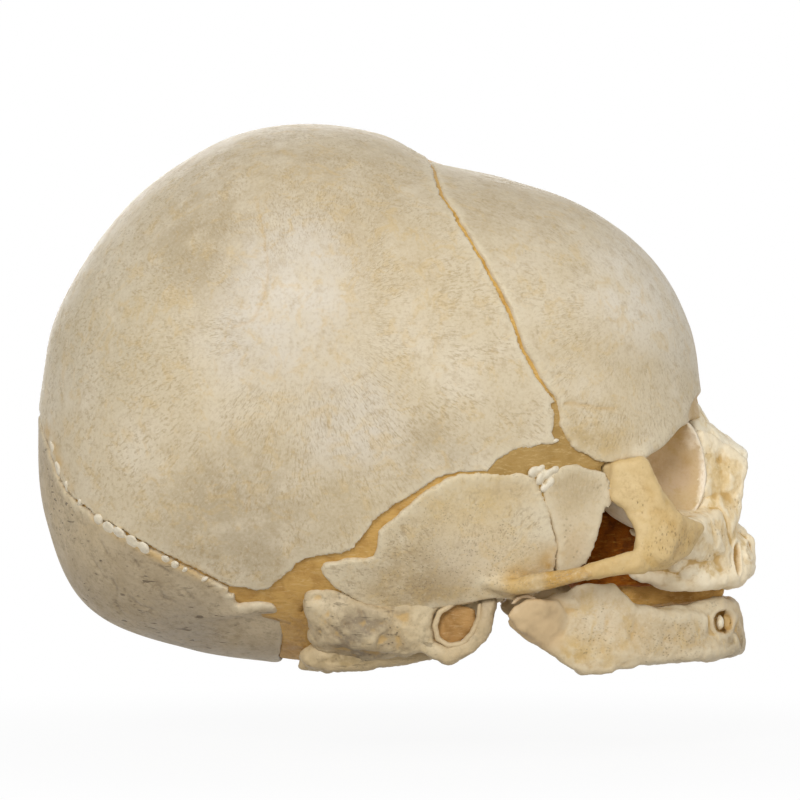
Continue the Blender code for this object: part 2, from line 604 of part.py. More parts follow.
def near(one, two):
    """True where two pieces' boxes come within the clearance of each other."""
    (low_a, high_a), (low_b, high_b) = box_of(one), box_of(two)
    return all(low_a[k] - PIECE_GAP < high_b[k] and low_b[k] - PIECE_GAP < high_a[k]
               for k in range(3))


def tree_of(item):
    """A search tree over a piece's faces."""
    mesh = item.data
    return BVHTree.FromPolygons([vert.co for vert in mesh.vertices],
                                [face.vertices for face in mesh.polygons])


def fit(item, gap=PIECE_GAP):
    """Cuts a new piece clear of every finished piece that it comes too near to."""
    for other in MADE:
        if other is item or not near(item, other):
            continue
        grown = inflated(other, gap)
        if tree_of(item).overlap(tree_of(grown)):
            combine(item, grown, "DIFFERENCE")
        else:
            remove(grown)
    keep_largest(item)


def stand_flat(item):
    """Cuts off what reaches below the resting plane, which leaves a flat foot."""
    if box_of(item)[0].z < 0:
        cut_flat(item, Vector((0, 0, 0)), Vector((0, 0, -1)))


def cut_flat(item, point, normal):
    """Removes what lies on a plane's normal side and closes the cut."""
    bm = bmesh.new()
    bm.from_mesh(item.data)
    geom = bm.verts[:] + bm.edges[:] + bm.faces[:]
    cut = bmesh.ops.bisect_plane(bm, geom=geom, plane_co=point, plane_no=normal, clear_outer=True,
                                 dist=WELD_DISTANCE)
    rim = [part for part in cut["geom_cut"] if isinstance(part, bmesh.types.BMEdge)]
    bmesh.ops.triangle_fill(bm, edges=rim, use_beauty=True)
    bmesh.ops.recalc_face_normals(bm, faces=bm.faces[:])
    bm.to_mesh(item.data)
    bm.free()


def triangulate(item):
    """Splits a piece's faces into triangles."""
    bm = bmesh.new()
    bm.from_mesh(item.data)
    dissolve_midpoints(bm)
    bmesh.ops.triangulate(bm, faces=bm.faces[:])
    bm.to_mesh(item.data)
    bm.free()


def finish(item, finish_name):
    """Paints a piece and files it as finished."""
    stand_flat(item)
    triangulate(item)
    if item.name in CUTTERS.objects:
        CUTTERS.objects.unlink(item)
        PARTS.objects.link(item)
    paint(item, finish_name)
    MADE.append(item)
    return item


def mirrored(item, name, finish_name):
    """The left twin of a right piece."""
    twin = bpy.data.objects.new(name, item.data.copy())
    PARTS.objects.link(twin)
    twin.data.transform(Matrix.Scale(-1, 4, (0, 1, 0)))
    twin.data.flip_normals()
    paint(twin, finish_name)
    MADE.append(twin)
    return twin


def pair(item, finish_name):
    """Finishes a right piece and makes its left twin."""
    finish(item, finish_name)
    twin = mirrored(item, item.name.replace("_right", "_left"), finish_name)
    return item, twin


def rounded_hull(bm, balls, sides):
    """Adds the convex hull of a few balls to a mesh."""
    ball = bmesh.new()
    bmesh.ops.create_icosphere(ball, subdivisions=round(BALL_CUTS), radius=1)
    directions = [vert.co.copy() for vert in ball.verts]
    ball.free()
    made = []
    for x, y, z, radius in balls:
        for side in sides:
            centre = place(x, y * side, z)
            made += [bm.verts.new(centre + way * radius * FACE_BONE) for way in directions]
    hull = bmesh.ops.convex_hull(bm, input=made)
    inside = {part for part in hull["geom_interior"] + hull["geom_unused"]
              if isinstance(part, bmesh.types.BMVert)}
    bmesh.ops.delete(bm, geom=list(inside), context="VERTS")


def melted(name, hulls, triangles, both_sides=False):
    """Melts rounded hulls into one smooth closed bone."""
    bm = bmesh.new()
    for balls in hulls:
        if both_sides and min(ball[1] for ball in balls) > FAR_SIDE_SHARE:
            rounded_hull(bm, balls, (1,))
            rounded_hull(bm, balls, (-1,))
        else:
            rounded_hull(bm, balls, (1, -1) if both_sides else (1,))
    item = add_object(name, bm, CUTTERS)
    melt = item.modifiers.new("melt", "REMESH")
    melt.mode = "VOXEL"
    melt.voxel_size = GRAIN
    soften = item.modifiers.new("soften", "SMOOTH")
    soften.iterations = SMOOTH_PASSES
    settle(item)
    thin = item.modifiers.new("thin", "DECIMATE")
    thin.ratio = min(triangles / (2 * len(item.data.polygons)), 1)
    settle(item)
    return item


def vault_patch(name, ring):
    """The part of the vault's wall inside an outline on its surface."""
    item = form_shell(name, 0, VAULT_WALL)
    combine(item, cone(name + "_outline", ring), "INTERSECT", keep=True)
    return item


def keep_right(item):
    """Cuts off what reaches the midline's gap or beyond."""
    if box_of(item)[1].y > -MIDLINE_GAP / 2:
        cut_flat(item, Vector((0, -MIDLINE_GAP / 2, 0)), Vector((0, 1, 0)))


def front_fontanelle(widen, name):
    """A diamond along z over the crossing of the coronal and midline sutures."""
    front, rear = (length + widen for length in FRONT_FONTANELLE_LENGTHS)
    half = FRONT_FONTANELLE_HALF + widen
    centre = FRONT_FONTANELLE_SHARE * SKULL_LENGTH
    points = ((centre + front, 0), (centre, half), (centre - rear, 0), (centre, -half))
    return prism(name, points, "z", SKULL_HEIGHT / 2, SKULL_HEIGHT * 2)


def rear_fontanelle(widen, name):
    """A small triangle along x where the midline suture meets the lambdoid sutures."""
    height, half = (size + widen for size in REAR_FONTANELLE_SIZES)
    foot = REAR_FONTANELLE_SHARE * SKULL_HEIGHT - widen
    points = ((0, foot + height + widen), (half, foot), (-half, foot))
    return prism(name, points, "x", -SKULL_LENGTH, -SKULL_LENGTH * REAR_REACH_SHARE)


def make_parietals():
    edges = (CORONAL_SHARES[::-1] + BEHIND_SHARES + LAMBDOID_SHARES
             + PARIETAL_LOWER_SHARES[::-1] + PARIETAL_FRONT_SHARES[::-1])
    bone = vault_patch("parietal_right", inset_ring(ring_of(edges), SUTURE_GAP / 2))
    keep_right(bone)
    combine(bone, front_fontanelle(0, "front_window"), "DIFFERENCE")
    combine(bone, rear_fontanelle(0, "rear_window"), "DIFFERENCE")
    keep_largest(bone)
    pair(bone, BONE)


def make_frontals():
    edges = CORONAL_SHARES + FRONTAL_LOWER_SHARES + BEFORE_SHARES
    bone = vault_patch("frontal_right", inset_ring(ring_of(edges), SUTURE_GAP / 2))
    keep_right(bone)
    combine(bone, front_fontanelle(0, "front_window"), "DIFFERENCE")
    combine(bone, melted("orbit_roof", FRONTAL_BASE_SHARES, FORM_TRIANGLES["frontal"]), "UNION")
    fit(bone)
    pair(bone, BONE)


def make_occipital():
    ring = both_ways(ring_of(OCCIPITAL_TOP_SHARES + LAMBDOID_SHARES[2:] + OCCIPITAL_LOWER_SHARES))
    bone = vault_patch("occipital_squama", inset_ring(ring, SUTURE_GAP / 2))
    fit(bone)
    finish(bone, BASE)


def make_temporals():
    bone = vault_patch("temporal_squama_right", ring_of(SQUAMA_SHARES))
    process = melted("zygomatic_process", SQUAMA_PROCESS_SHARES, FORM_TRIANGLES["process"])
    combine(bone, process, "UNION")
    fit(bone)
    pair(bone, FACE)


def make_wings():
    bone = vault_patch("sphenoid_greater_wing_right", ring_of(WING_SHARES))
    combine(bone, melted("wing_base", WING_BASE_SHARES, FORM_TRIANGLES["wing"]), "UNION")
    fit(bone)
    pair(bone, FACE)


def make_petrous():
    bone = vault_patch("temporal_petrous_right", ring_of(MASTOID_SHARES))
    combine(bone, melted("pyramid", PETROUS_BASE_SHARES, FORM_TRIANGLES["petrous"]), "UNION")
    fit(bone)
    pair(bone, FACE)


def make_midline_bone(name, shares, form, finish_name):
    bone = melted(name, shares, FORM_TRIANGLES[form], both_sides=True)
    fit(bone)
    finish(bone, finish_name)


def make_side_bones(name, shares, form, finish_name, gap=PIECE_GAP * 2):
    """A pair of melted bones, kept clear of the midline."""
    bone = melted(name + "_right", shares, FORM_TRIANGLES[form])
    if box_of(bone)[1].y > -gap / 2:
        cut_flat(bone, Vector((0, -gap / 2, 0)), Vector((0, 1, 0)))
    fit(bone)
    pair(bone, finish_name)


def axis_point():
    """The middle of the jaw's hinge line."""
    return place(JAW_AXIS_SHARES[0], 0, JAW_AXIS_SHARES[1])


def roller(name, radius, inner, outer):
    """A round bar on the jaw's axis between two distances from the midline."""
    bm = bmesh.new()
    length = outer - inner
    bmesh.ops.create_cone(bm, cap_ends=True, segments=ROLLER_SIDES, radius1=radius,
                          radius2=radius, depth=length)
    bmesh.ops.rotate(bm, verts=bm.verts[:], matrix=Matrix.Rotation(math.pi / 2, 3, "X"))
    centre = axis_point() - Vector((0, inner + length / 2, 0))
    bmesh.ops.translate(bm, verts=bm.verts[:], vec=centre)
    return add_object(name, bm, CUTTERS)


def crypt(name, shrink):
    """An egg for a tooth crypt, or for the germ in it when shrunk by the clearance."""
    bm = bmesh.new()
    bmesh.ops.create_icosphere(bm, subdivisions=round(BALL_CUTS), radius=1)
    bmesh.ops.scale(bm, verts=bm.verts[:], vec=Vector([size - shrink for size in CRYPT_SIZES]))
    bmesh.ops.translate(bm, verts=bm.verts[:], vec=place(*GERM_SHARES))
    return add_object(name, bm, CUTTERS)


def make_mandible():
    """The halves of the lower jaw with their joint rollers, the cartilage and the germs."""
    inner = CONDYLE_INNER_SHARE * SKULL_WIDTH
    outer = CONDYLE_OUTER_SHARE * SKULL_WIDTH
    bone = melted("mandible_right", MANDIBLE_SHARES, FORM_TRIANGLES["mandible"])
    clear = DISC_WALL + 3 * PIECE_GAP
    room = roller("joint_room", CONDYLE_RADIUS + clear, inner - clear, outer + clear)
    upper = prism("above_axis", ((-SKULL_LENGTH, axis_point().z), (SKULL_LENGTH, axis_point().z),
                                 (SKULL_LENGTH, SKULL_HEIGHT), (-SKULL_LENGTH, SKULL_HEIGHT)),
                  "y", -SKULL_WIDTH, 0)
    combine(room, upper, "INTERSECT")
    combine(bone, room, "DIFFERENCE")
    combine(bone, roller("condyle", CONDYLE_RADIUS, inner, outer), "UNION")
    reach = SYMPHYSIS_WIDTH / 2 + PIECE_GAP
    cut_flat(bone, Vector((0, -reach, 0)), Vector((0, 1, 0)))
    combine(bone, crypt("crypt", 0), "DIFFERENCE")
    keep_largest(bone)
    pair(bone, FACE)
    pad = melted("mandibular_symphysis", SYMPHYSIS_SHARES, FORM_TRIANGLES["symphysis"])
    for side in (-1, 1):
        cut_flat(pad, Vector((0, side * SYMPHYSIS_WIDTH / 2, 0)), Vector((0, side, 0)))
    finish(pad, CARTILAGE)
    pair(crypt("tooth_germ_right", GERM_CLEARANCE), ENAMEL)


def make_discs():
    """A cap of cartilage over each joint roller."""
    inner = CONDYLE_INNER_SHARE * SKULL_WIDTH
    outer = CONDYLE_OUTER_SHARE * SKULL_WIDTH
    hollow = CONDYLE_RADIUS + PIECE_GAP
    disc = roller("articular_disc_right", hollow + DISC_WALL, inner, outer)
    combine(disc, roller("disc_hollow", hollow, inner - PIECE_GAP, outer + PIECE_GAP), "DIFFERENCE")
    low = axis_point().z + hollow / 2
    combine(disc, prism("disc_top", ((-SKULL_LENGTH, low), (SKULL_LENGTH, low),
                                     (SKULL_LENGTH, SKULL_HEIGHT), (-SKULL_LENGTH, SKULL_HEIGHT)),
                        "y", -SKULL_WIDTH, 0), "INTERSECT")
    pair(disc, CARTILAGE)


def make_ear_rings():
    """The open bony ring that holds the eardrum."""
    curve = bpy.data.curves.new("tympanic_ring_path", "CURVE")
    curve.dimensions = "3D"
    curve.bevel_depth = RING_TUBE
    curve.bevel_resolution = 1
    curve.use_fill_caps = True
    spline = curve.splines.new("POLY")
    spline.points.add(RING_POINTS - 1)
    turn = Matrix.Rotation(math.radians(RING_LEAN), 3, "Z")
    turn = turn @ Matrix.Rotation(math.radians(RING_TILT), 3, "Y")
    for index, point in enumerate(spline.points):
        share = index / (RING_POINTS - 1)
        angle = math.radians(90 + RING_OPENING / 2 + share * (360 - RING_OPENING))
        spot = Vector((RING_SHORT * math.cos(angle), 0, RING_LONG * math.sin(angle)))
        point.co = (*(place(*RING_CENTRE_SHARES) + turn @ spot), 1)
    path = bpy.data.objects.new("tympanic_ring_path", curve)
    CUTTERS.objects.link(path)
    graph = bpy.context.evaluated_depsgraph_get()
    mesh = bpy.data.meshes.new_from_object(path.evaluated_get(graph))
    ring = bpy.data.objects.new("tympanic_ring_right", mesh)
    ring.matrix_world = path.matrix_world
    CUTTERS.objects.link(ring)
    remove(path)
    weld(ring)
    fit(ring)
    pair(ring, FACE)


def membrane(name, outline):
    """A thin sheet just below the bones' inner faces, inside a prism."""
    item = form_shell(name, VAULT_WALL + MEMBRANE_SINK, MEMBRANE_WALL)
    combine(item, outline, "INTERSECT")
    fit(item)
    return item


def make_membranes():
    """The sheets that close the fontanelles and line the sutures."""
    finish(membrane("anterior_fontanelle_membrane", front_fontanelle(MEMBRANE_LAP, "front_sheet")),
           MEMBRANE)
    finish(membrane("posterior_fontanelle_membrane", rear_fontanelle(MEMBRANE_LAP, "rear_sheet")),
           MEMBRANE)
    sheet = cone("sphenoid_sheet", ring_of(SPHENOID_MEMBRANE_SHARES))
    pair(membrane("sphenoidal_fontanelle_membrane_right", sheet), MEMBRANE)
    sheet = cone("mastoid_sheet", ring_of(MASTOID_MEMBRANE_SHARES))
    pair(membrane("mastoid_fontanelle_membrane_right", sheet), MEMBRANE)
    half = MIDLINE_GAP / 2 + MEMBRANE_LAP
    strips = (("sagittal_suture_membrane", -PAST_END_SHARE, FRONT_FONTANELLE_SHARE),
              ("metopic_suture_membrane", FRONT_FONTANELLE_SHARE, PAST_END_SHARE))
    for name, start, end in strips:
        points = ((start * SKULL_LENGTH, -half), (end * SKULL_LENGTH, -half),
                  (end * SKULL_LENGTH, half), (start * SKULL_LENGTH, half))
        strip = prism(name + "_strip", points, "z", REAR_FONTANELLE_SHARE * SKULL_HEIGHT,
                      SKULL_HEIGHT * 2)
        finish(membrane(name, strip), MEMBRANE)
    lines = (("coronal", CORONAL_SHARES, MEMBRANE_LAP), ("lambdoid", LAMBDOID_SHARES, MEMBRANE_LAP),
             ("squamous", SQUAMOUS_LINE_SHARES, SQUAMOUS_LAP))
    for name, shares, half in lines:
        outline = cone(name + "_strip", band(shares, half), strip=True)
        sheet = membrane(name + "_suture_membrane_right", outline)
        keep_right(sheet)
        pair(sheet, MEMBRANE)


def add_hinge():
    """An empty on the jaw's axis carries the lower jaw."""
    hinge = bpy.data.objects.new("jaw_hinge", None)
    hinge.location = axis_point()
    hinge.empty_display_size = CONDYLE_RADIUS
    PARTS.objects.link(hinge)
    bpy.context.view_layer.update()
    for item in MADE:
        if item.name.startswith(("mandib", "tooth_germ")):
            item.parent = hinge
            item.matrix_parent_inverse = hinge.matrix_world.inverted()


def main():
    global PARTS, CUTTERS
    clear_scene()
    PARTS = collection("fetal_skull")
    CUTTERS = collection("cutters")
    make_mandible()
    make_discs()
    make_parietals()
    make_frontals()
    make_occipital()
    make_temporals()
    make_wings()
    make_petrous()
    make_midline_bone("occipital_basilar", BASILAR_SHARES, "basilar", BASE)
    make_midline_bone("sphenoid_body", SPHENOID_SHARES, "sphenoid", BASE)
    make_midline_bone("ethmoid", ETHMOID_SHARES, "ethmoid", FACE)
    make_side_bones("occipital_lateral", LATERAL_SHARES, "lateral", BASE)
    make_side_bones("nasal", NASAL_SHARES, "nasal", FACE)
    make_side_bones("maxilla", MAXILLA_SHARES, "maxilla", FACE)
    make_side_bones("zygomatic", ZYGOMATIC_SHARES, "zygomatic", FACE)
    make_side_bones("palatine", PALATINE_SHARES, "palatine", FACE)
    make_side_bones("lacrimal", LACRIMAL_SHARES, "lacrimal", FACE)
    make_midline_bone("vomer", VOMER_SHARES, "vomer", FACE)
    make_side_bones("inferior_concha", CONCHA_SHARES, "concha", FACE)
    make_ear_rings()
    make_membranes()
    add_hinge()


main()
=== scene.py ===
"""Fetal skull: the looks of the bones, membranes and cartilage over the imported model."""
import math

import bmesh
import bpy
import numpy as np
from mathutils import Matrix, Vector
from mathutils.kdtree import KDTree


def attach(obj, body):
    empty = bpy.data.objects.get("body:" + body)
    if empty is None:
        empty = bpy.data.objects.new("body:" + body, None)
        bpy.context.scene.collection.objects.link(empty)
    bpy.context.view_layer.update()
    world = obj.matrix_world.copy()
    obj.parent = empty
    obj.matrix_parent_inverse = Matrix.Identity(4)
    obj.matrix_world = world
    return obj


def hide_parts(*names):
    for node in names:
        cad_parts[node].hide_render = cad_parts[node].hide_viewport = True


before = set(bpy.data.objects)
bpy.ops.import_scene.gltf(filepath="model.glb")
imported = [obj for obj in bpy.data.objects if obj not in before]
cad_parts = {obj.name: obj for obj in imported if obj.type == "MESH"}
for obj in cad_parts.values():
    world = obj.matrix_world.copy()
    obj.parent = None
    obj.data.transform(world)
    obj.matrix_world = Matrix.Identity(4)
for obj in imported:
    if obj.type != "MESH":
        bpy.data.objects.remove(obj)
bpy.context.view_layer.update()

bl_info = {
    "name": "Fetal Skull Finish",
    "version": (1, 0, 0),
    "blender": (4, 5, 0),
    "location": "3D View > Sidebar > Skull",
    "description": "Grows the bone, membrane and cartilage surfaces over the packed skull",
    "category": "Object",
}

# The head's form, as in the solids
SKULL_LENGTH = 0.1271
SKULL_WIDTH = 0.093
SKULL_HEIGHT = 0.096
FORM_POWER = 2.06
FORM_CENTRE_SHARES = (-0.123, 0.630)
PROFILE_STEP = 15
PROFILE_SHARES = (
    0.359, 0.386, 0.438, 0.519, 0.609, 0.623, 0.634, 0.715, 0.765, 0.745, 0.664, 0.569,
    0.530, 0.491, 0.440, 0.384, 0.354, 0.366, 0.372, 0.367, 0.350, 0.339, 0.333, 0.339)
PARIETAL_BOSS = 0.0012
# Height, reach, and place as shares of length and height
LUMPS = (
    (0.0012, 0.017, -0.123, 0.630),
    (0.0014, 0.012, 0.320, 0.665),
    (-0.0036, 0.017, 0.185, 0.300),
    (-0.0022, 0.009, 0.060, 0.085),
)

SIDES = ("right", "left")
VAULT = ("parietal", "frontal")
MM = 1000.0
SAME_PLACE = 0.000002


# Shape helpers

def profile_share(angle):
    """Radius of the side outline at each angle, by a closed curve through the table."""
    table = np.array(PROFILE_SHARES)
    count = len(table)
    turn = (np.degrees(angle) + 180) / PROFILE_STEP
    index = np.floor(turn).astype(int)
    part = turn - index
    before, start, end, after = (table[(index + k) % count] for k in (-1, 0, 1, 2))
    return 0.5 * (2 * start + (end - before) * part
                  + (2 * before - 5 * start + 4 * end - after) * part ** 2
                  + (3 * start - before - 3 * end + after) * part ** 3)


def form_centre():
    return np.array((FORM_CENTRE_SHARES[0] * SKULL_LENGTH, 0, FORM_CENTRE_SHARES[1] * SKULL_HEIGHT))


def form_side(x, z):
    """Distance from the midline to the head's surface at a place of the side view, in millimetres."""
    low, high = 0.0, 0.06
    for _ in range(30):
        middle = (low + high) / 2
        if form_reach(np.array([[x / MM, middle, z / MM]]))[0] < 1:
            low = middle
        else:
            high = middle
    return low * MM


def form_reach(points):
    """How far out each point lies, as a share of the way from the centre to the surface."""
    across = points[:, 0] / SKULL_LENGTH - FORM_CENTRE_SHARES[0]
    up = points[:, 2] / SKULL_HEIGHT - FORM_CENTRE_SHARES[1]
    reach = np.hypot(across, up) / profile_share(np.arctan2(up, across))
    raised = np.zeros(len(points))
    for height, width, x_share, z_share in LUMPS:
        away = np.hypot(points[:, 0] - x_share * SKULL_LENGTH, points[:, 2] - z_share * SKULL_HEIGHT)
        raised += height * bell(away, width)
    side = np.abs(points[:, 1]) / (SKULL_WIDTH / 2 - PARIETAL_BOSS + raised)
    return (reach ** FORM_POWER + side ** FORM_POWER) ** (1 / FORM_POWER)


def hashed(cells, seed):
    """A steady pseudo random number from -1 to 1 for each lattice cell."""
    mixed = (cells[:, 0] * 374761393 + cells[:, 1] * 668265263
             + cells[:, 2] * 2147483647 + seed * 1274126177) & 0xFFFFFFFF
    mixed = ((mixed ^ (mixed >> 13)) * 1103515245) & 0xFFFFFFFF
    mixed = (mixed ^ (mixed >> 16)) & 0xFFFFFFFF
    return mixed / 2147483648.0 - 1


def wander(points, size, seed):
    """Smooth lattice noise from -1 to 1 with features of a size in metres."""
    scaled = points / size
    low = np.floor(scaled).astype(np.int64)
    part = scaled - low
    part = part * part * (3 - 2 * part)
    total = np.zeros(len(points))
    for corner in range(8):
        step = np.array(((corner >> 2) & 1, (corner >> 1) & 1, corner & 1))
        weight = np.prod(np.where(step, part, 1 - part), axis=1)
        total += weight * hashed(low + step, seed)
    return total


def rough(points, size, seed, layers=3):
    """Lattice noise in a few layers, each half the size and strength of the last."""
    total = np.zeros(len(points))
    for layer in range(layers):
        total += wander(points, size / 2 ** layer, seed + layer) / 2 ** layer
    return total


def vectors_of(mesh, key):
    flat = np.empty(len(mesh.vertices) * 3, np.float32)
    mesh.vertices.foreach_get(key, flat)
    return flat.reshape(-1, 3).astype(float)


def points_of(mesh):
    return vectors_of(mesh, "co")


def normals_of(mesh):
    return vectors_of(mesh, "normal")


def move_points(mesh, points):
    mesh.vertices.foreach_set("co", points.astype(np.float32).ravel())
    mesh.update()


def paint_points(mesh, name, values):
    """Keeps one number per point as an attribute that a material reads."""
    mark = mesh.attributes.get(name) or mesh.attributes.new(name, "FLOAT", "POINT")
    mark.data.foreach_set("value", np.asarray(values, np.float32))


def add_piece(name, mesh):
    old = bpy.data.objects.get(name)
    if old:
        bpy.data.objects.remove(old)
    item = bpy.data.objects.new(name, mesh)
    bpy.context.scene.collection.objects.link(item)
    return item


def settle(item):
    """Applies an object's modifiers to its mesh and shades it smooth."""
    graph = bpy.context.evaluated_depsgraph_get()
    made = bpy.data.meshes.new_from_object(item.evaluated_get(graph))
    item.modifiers.clear()
    old = item.data
    item.data = made
    bpy.data.meshes.remove(old)
    made.name = item.name
    made.polygons.foreach_set("use_smooth", np.ones(len(made.polygons), bool))
    return item


def piece_of(bm, name):
    """Makes an object of a bmesh and frees the bmesh."""
    mesh = bpy.data.meshes.new(name)
    bm.to_mesh(mesh)
    bm.free()
    return add_piece(name, mesh)


def refined(item, grain, passes=0, swell=0.0):
    """Remeshes an object into even faces of a size, softens it and lets it swell."""
    fine = item.modifiers.new("fine", "REMESH")
    fine.mode = "VOXEL"
    fine.voxel_size = grain
    if passes:
        soft = item.modifiers.new("soft", "SMOOTH")
        soft.iterations = passes
    if swell:
        fuller = item.modifiers.new("fuller", "DISPLACE")
        fuller.mid_level = 0
        fuller.strength = swell
    return settle(item)


def thickened(item, thickness):
    """Gives an open sheet its wall on the inner side."""
    wall = item.modifiers.new("wall", "SOLIDIFY")
    wall.thickness = thickness
    wall.offset = -1
    return settle(item)


def blob(bm, balls, sides=(1,)):
    """Adds the rounded skin round balls at (x, distance from the midline, z, radius), in millimetres."""
    ball = bmesh.new()
    bmesh.ops.create_icosphere(ball, subdivisions=2, radius=1)
    ways = [vert.co.copy() for vert in ball.verts]
    ball.free()
    made = []
    for x, y, z, radius in balls:
        for side in sides:
            middle = Vector((x, y * side, z))
            made += [bm.verts.new((middle + way * radius) / MM) for way in ways]
    hull = bmesh.ops.convex_hull(bm, input=made)
    inside = {part for part in hull["geom_interior"] + hull["geom_unused"]
              if isinstance(part, bmesh.types.BMVert)}
    bmesh.ops.delete(bm, geom=list(inside), context="VERTS")


def chain(bm, balls, sides=(1,)):
    """Adds a bar that runs through balls one after the other."""
    for pair in zip(balls, balls[1:]):
        blob(bm, pair, sides)


def grown(node, name, grain, passes=0, swell=0.0, lumps=(), bars=()):
    """A fine, even copy of a node's solid with its extra forms, ready to be shaped further."""
    bm = bmesh.new()
    if node:
        bm.from_mesh(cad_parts[node].data)
        bmesh.ops.remove_doubles(bm, verts=bm.verts[:], dist=SAME_PLACE)
    side = (1,) if "left" in name else (-1,)
    for balls in lumps:
        blob(bm, balls, side)
    for balls in bars:
        chain(bm, balls, side)
    return refined(piece_of(bm, name), grain, passes, swell)


def tree_of(spots):
    """A search tree over places."""
    tree = KDTree(len(spots))
    for index, spot in enumerate(spots):
        tree.insert(spot, index)
    tree.balance()
    return tree


def distance_to(points, targets, most):
    """Distance from each point to the nearest target, up to a most."""
    tree = tree_of(targets)
    return np.array([min(tree.find(spot)[2], most) for spot in points])


def softened(mesh, rounds, share=1.0):
    """The mesh's points after each has moved towards its neighbours' middle a number of times."""
    points = points_of(mesh)
    ends = np.empty(len(mesh.edges) * 2, np.int32)
    mesh.edges.foreach_get("vertices", ends)
    first, second = ends.reshape(-1, 2).T
    count = np.bincount(ends, minlength=len(points))
    amount = 0.5 * np.broadcast_to(share, len(points))[:, None]
    for _ in range(rounds):
        around = np.stack([np.bincount(first, points[second, axis], len(points))
                           + np.bincount(second, points[first, axis], len(points))
                           for axis in range(3)], axis=1)
        points = points + amount * (around / count[:, None] - points)
    return points


def hollows(mesh, rounds, scale):
    """How deep each point lies below its softened surroundings, as a share from -1 to 1."""
    soft = softened(mesh, rounds)
    return np.clip(np.sum((soft - points_of(mesh)) * normals_of(mesh), axis=1) / scale, -1, 1)


def near(points, x, z, reach):
    """Strength from 1 to 0 round a place of the side view, in millimetres."""
    away = np.hypot(points[:, 0] * MM - x, points[:, 2] * MM - z)
    return bell(away, reach)


def ramp(values, low, high):
    """Goes smoothly from 0 at a low value to 1 at a high one."""
    part = np.clip((values - low) / (high - low), 0, 1)
    return part * part * (3 - 2 * part)


def bell(away, width):
    """Strength from 1 at no distance to 0 far outside a width."""
    return np.exp(-(away / width) ** 2)


def segment_distance(points, line):
    """Distance in the side view from each point to a line of places, in millimetres."""
    flat = points[:, (0, 2)] * MM
    best = np.full(len(points), 1e9)
    for start, end in zip(line, line[1:]):
        start, end = np.array(start, float), np.array(end, float)
        along = end - start
        share = np.clip(((flat - start) @ along) / (along @ along), 0, 1)
        best = np.minimum(best, np.linalg.norm(flat - start - share[:, None] * along, axis=1))
    return best


def finish_piece(item, body, nodes, material):
    """Gives a piece its material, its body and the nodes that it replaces."""
    item.data.materials.clear()
    item.data.materials.append(material)
    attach(item, body)
    if nodes:
        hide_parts(*nodes)


# The vault's plates. Lines run through places of the side view, in millimetres

CRACKS = (
    ((-24, 81.4), (-22.6, 75), (-21.6, 69.1), (-22.3, 64.5), (-24.2, 60.5), (-27.2, 59.6)),
    ((-25.1, 33.5), (-24.8, 31.2), (-25.5, 28.6)),
)
OCCIPITAL_CRACKS = (
    ((-49.2, 16.4), (-48.4, 14.2), (-48.9, 12.2), (-47.9, 10.2)), ((-46.2, 13.4), (-44.6, 11.8), (-42.2, 11)),
    ((-45.6, 20.4), (-44.2, 18.6)), ((-41.2, 15.6), (-40.2, 13.2), (-38.6, 12.4)), ((-52.6, 19.8), (-51.2, 18.2)),
    ((-40.6, 19), (-38.8, 17.6)), ((-36.6, 14.6), (-35.2, 13)), ((-50.8, 23), (-49.8, 21.2)),
)
OCCIPITAL_RIDGE = ((-35.5, 9.6), (-31.8, 10.3), (-26.5, 11), (-22.5, 11.6), (-19.6, 11.9))
FISSURE = ((28.2, 46.7), (31, 46.4), (34.3, 45.8), (37, 45.6))
BROW_LINE = ((52.4, 48.6), (51, 46.2), (49.6, 44.2), (48.2, 41.5), (47, 39.6), (44.9, 38))
LAMBDOID = (
    (-61, 41.9), (-58.8, 36.8), (-56.7, 32.5), (-54.4, 30), (-51.1, 27), (-47.6, 24.6), (-44.2, 22.4),
    (-40.7, 20.7), (-37.3, 19.2), (-33.8, 17.6), (-30.1, 15.4))
# How far each plate's edge is drawn outwards along the form, in millimetres
PLATE_SPREAD = {"parietal": -0.06, "frontal": -0.02, "squama": 0.22, "wing": 0.24, "occipital": -0.02}


# Depths under the true form and reaches along it, in metres
FACE_BAND = 0.0016
WORK_DEPTH = 0.0034
FACE_REACH = 0.0036
RIM_DEPTH = 0.0022
RIM_REACH = 0.006
EDGE_WIDTH = 0.0009
WAVER_DEPTH = 0.0024


def outer_depths(points, depth, outward):
    """How far the outer face that lies over each point is off the true form."""
    face = outward & (np.abs(depth) < FACE_BAND)
    tree = tree_of(points[face])
    found = depth[face]
    lifts = np.zeros(len(points))
    for index in np.flatnonzero((depth > -FACE_BAND) & (depth < WORK_DEPTH)):
        _, nearest, away = tree.find(points[index])
        if away < FACE_REACH:
            lifts[index] = found[nearest]
    return lifts


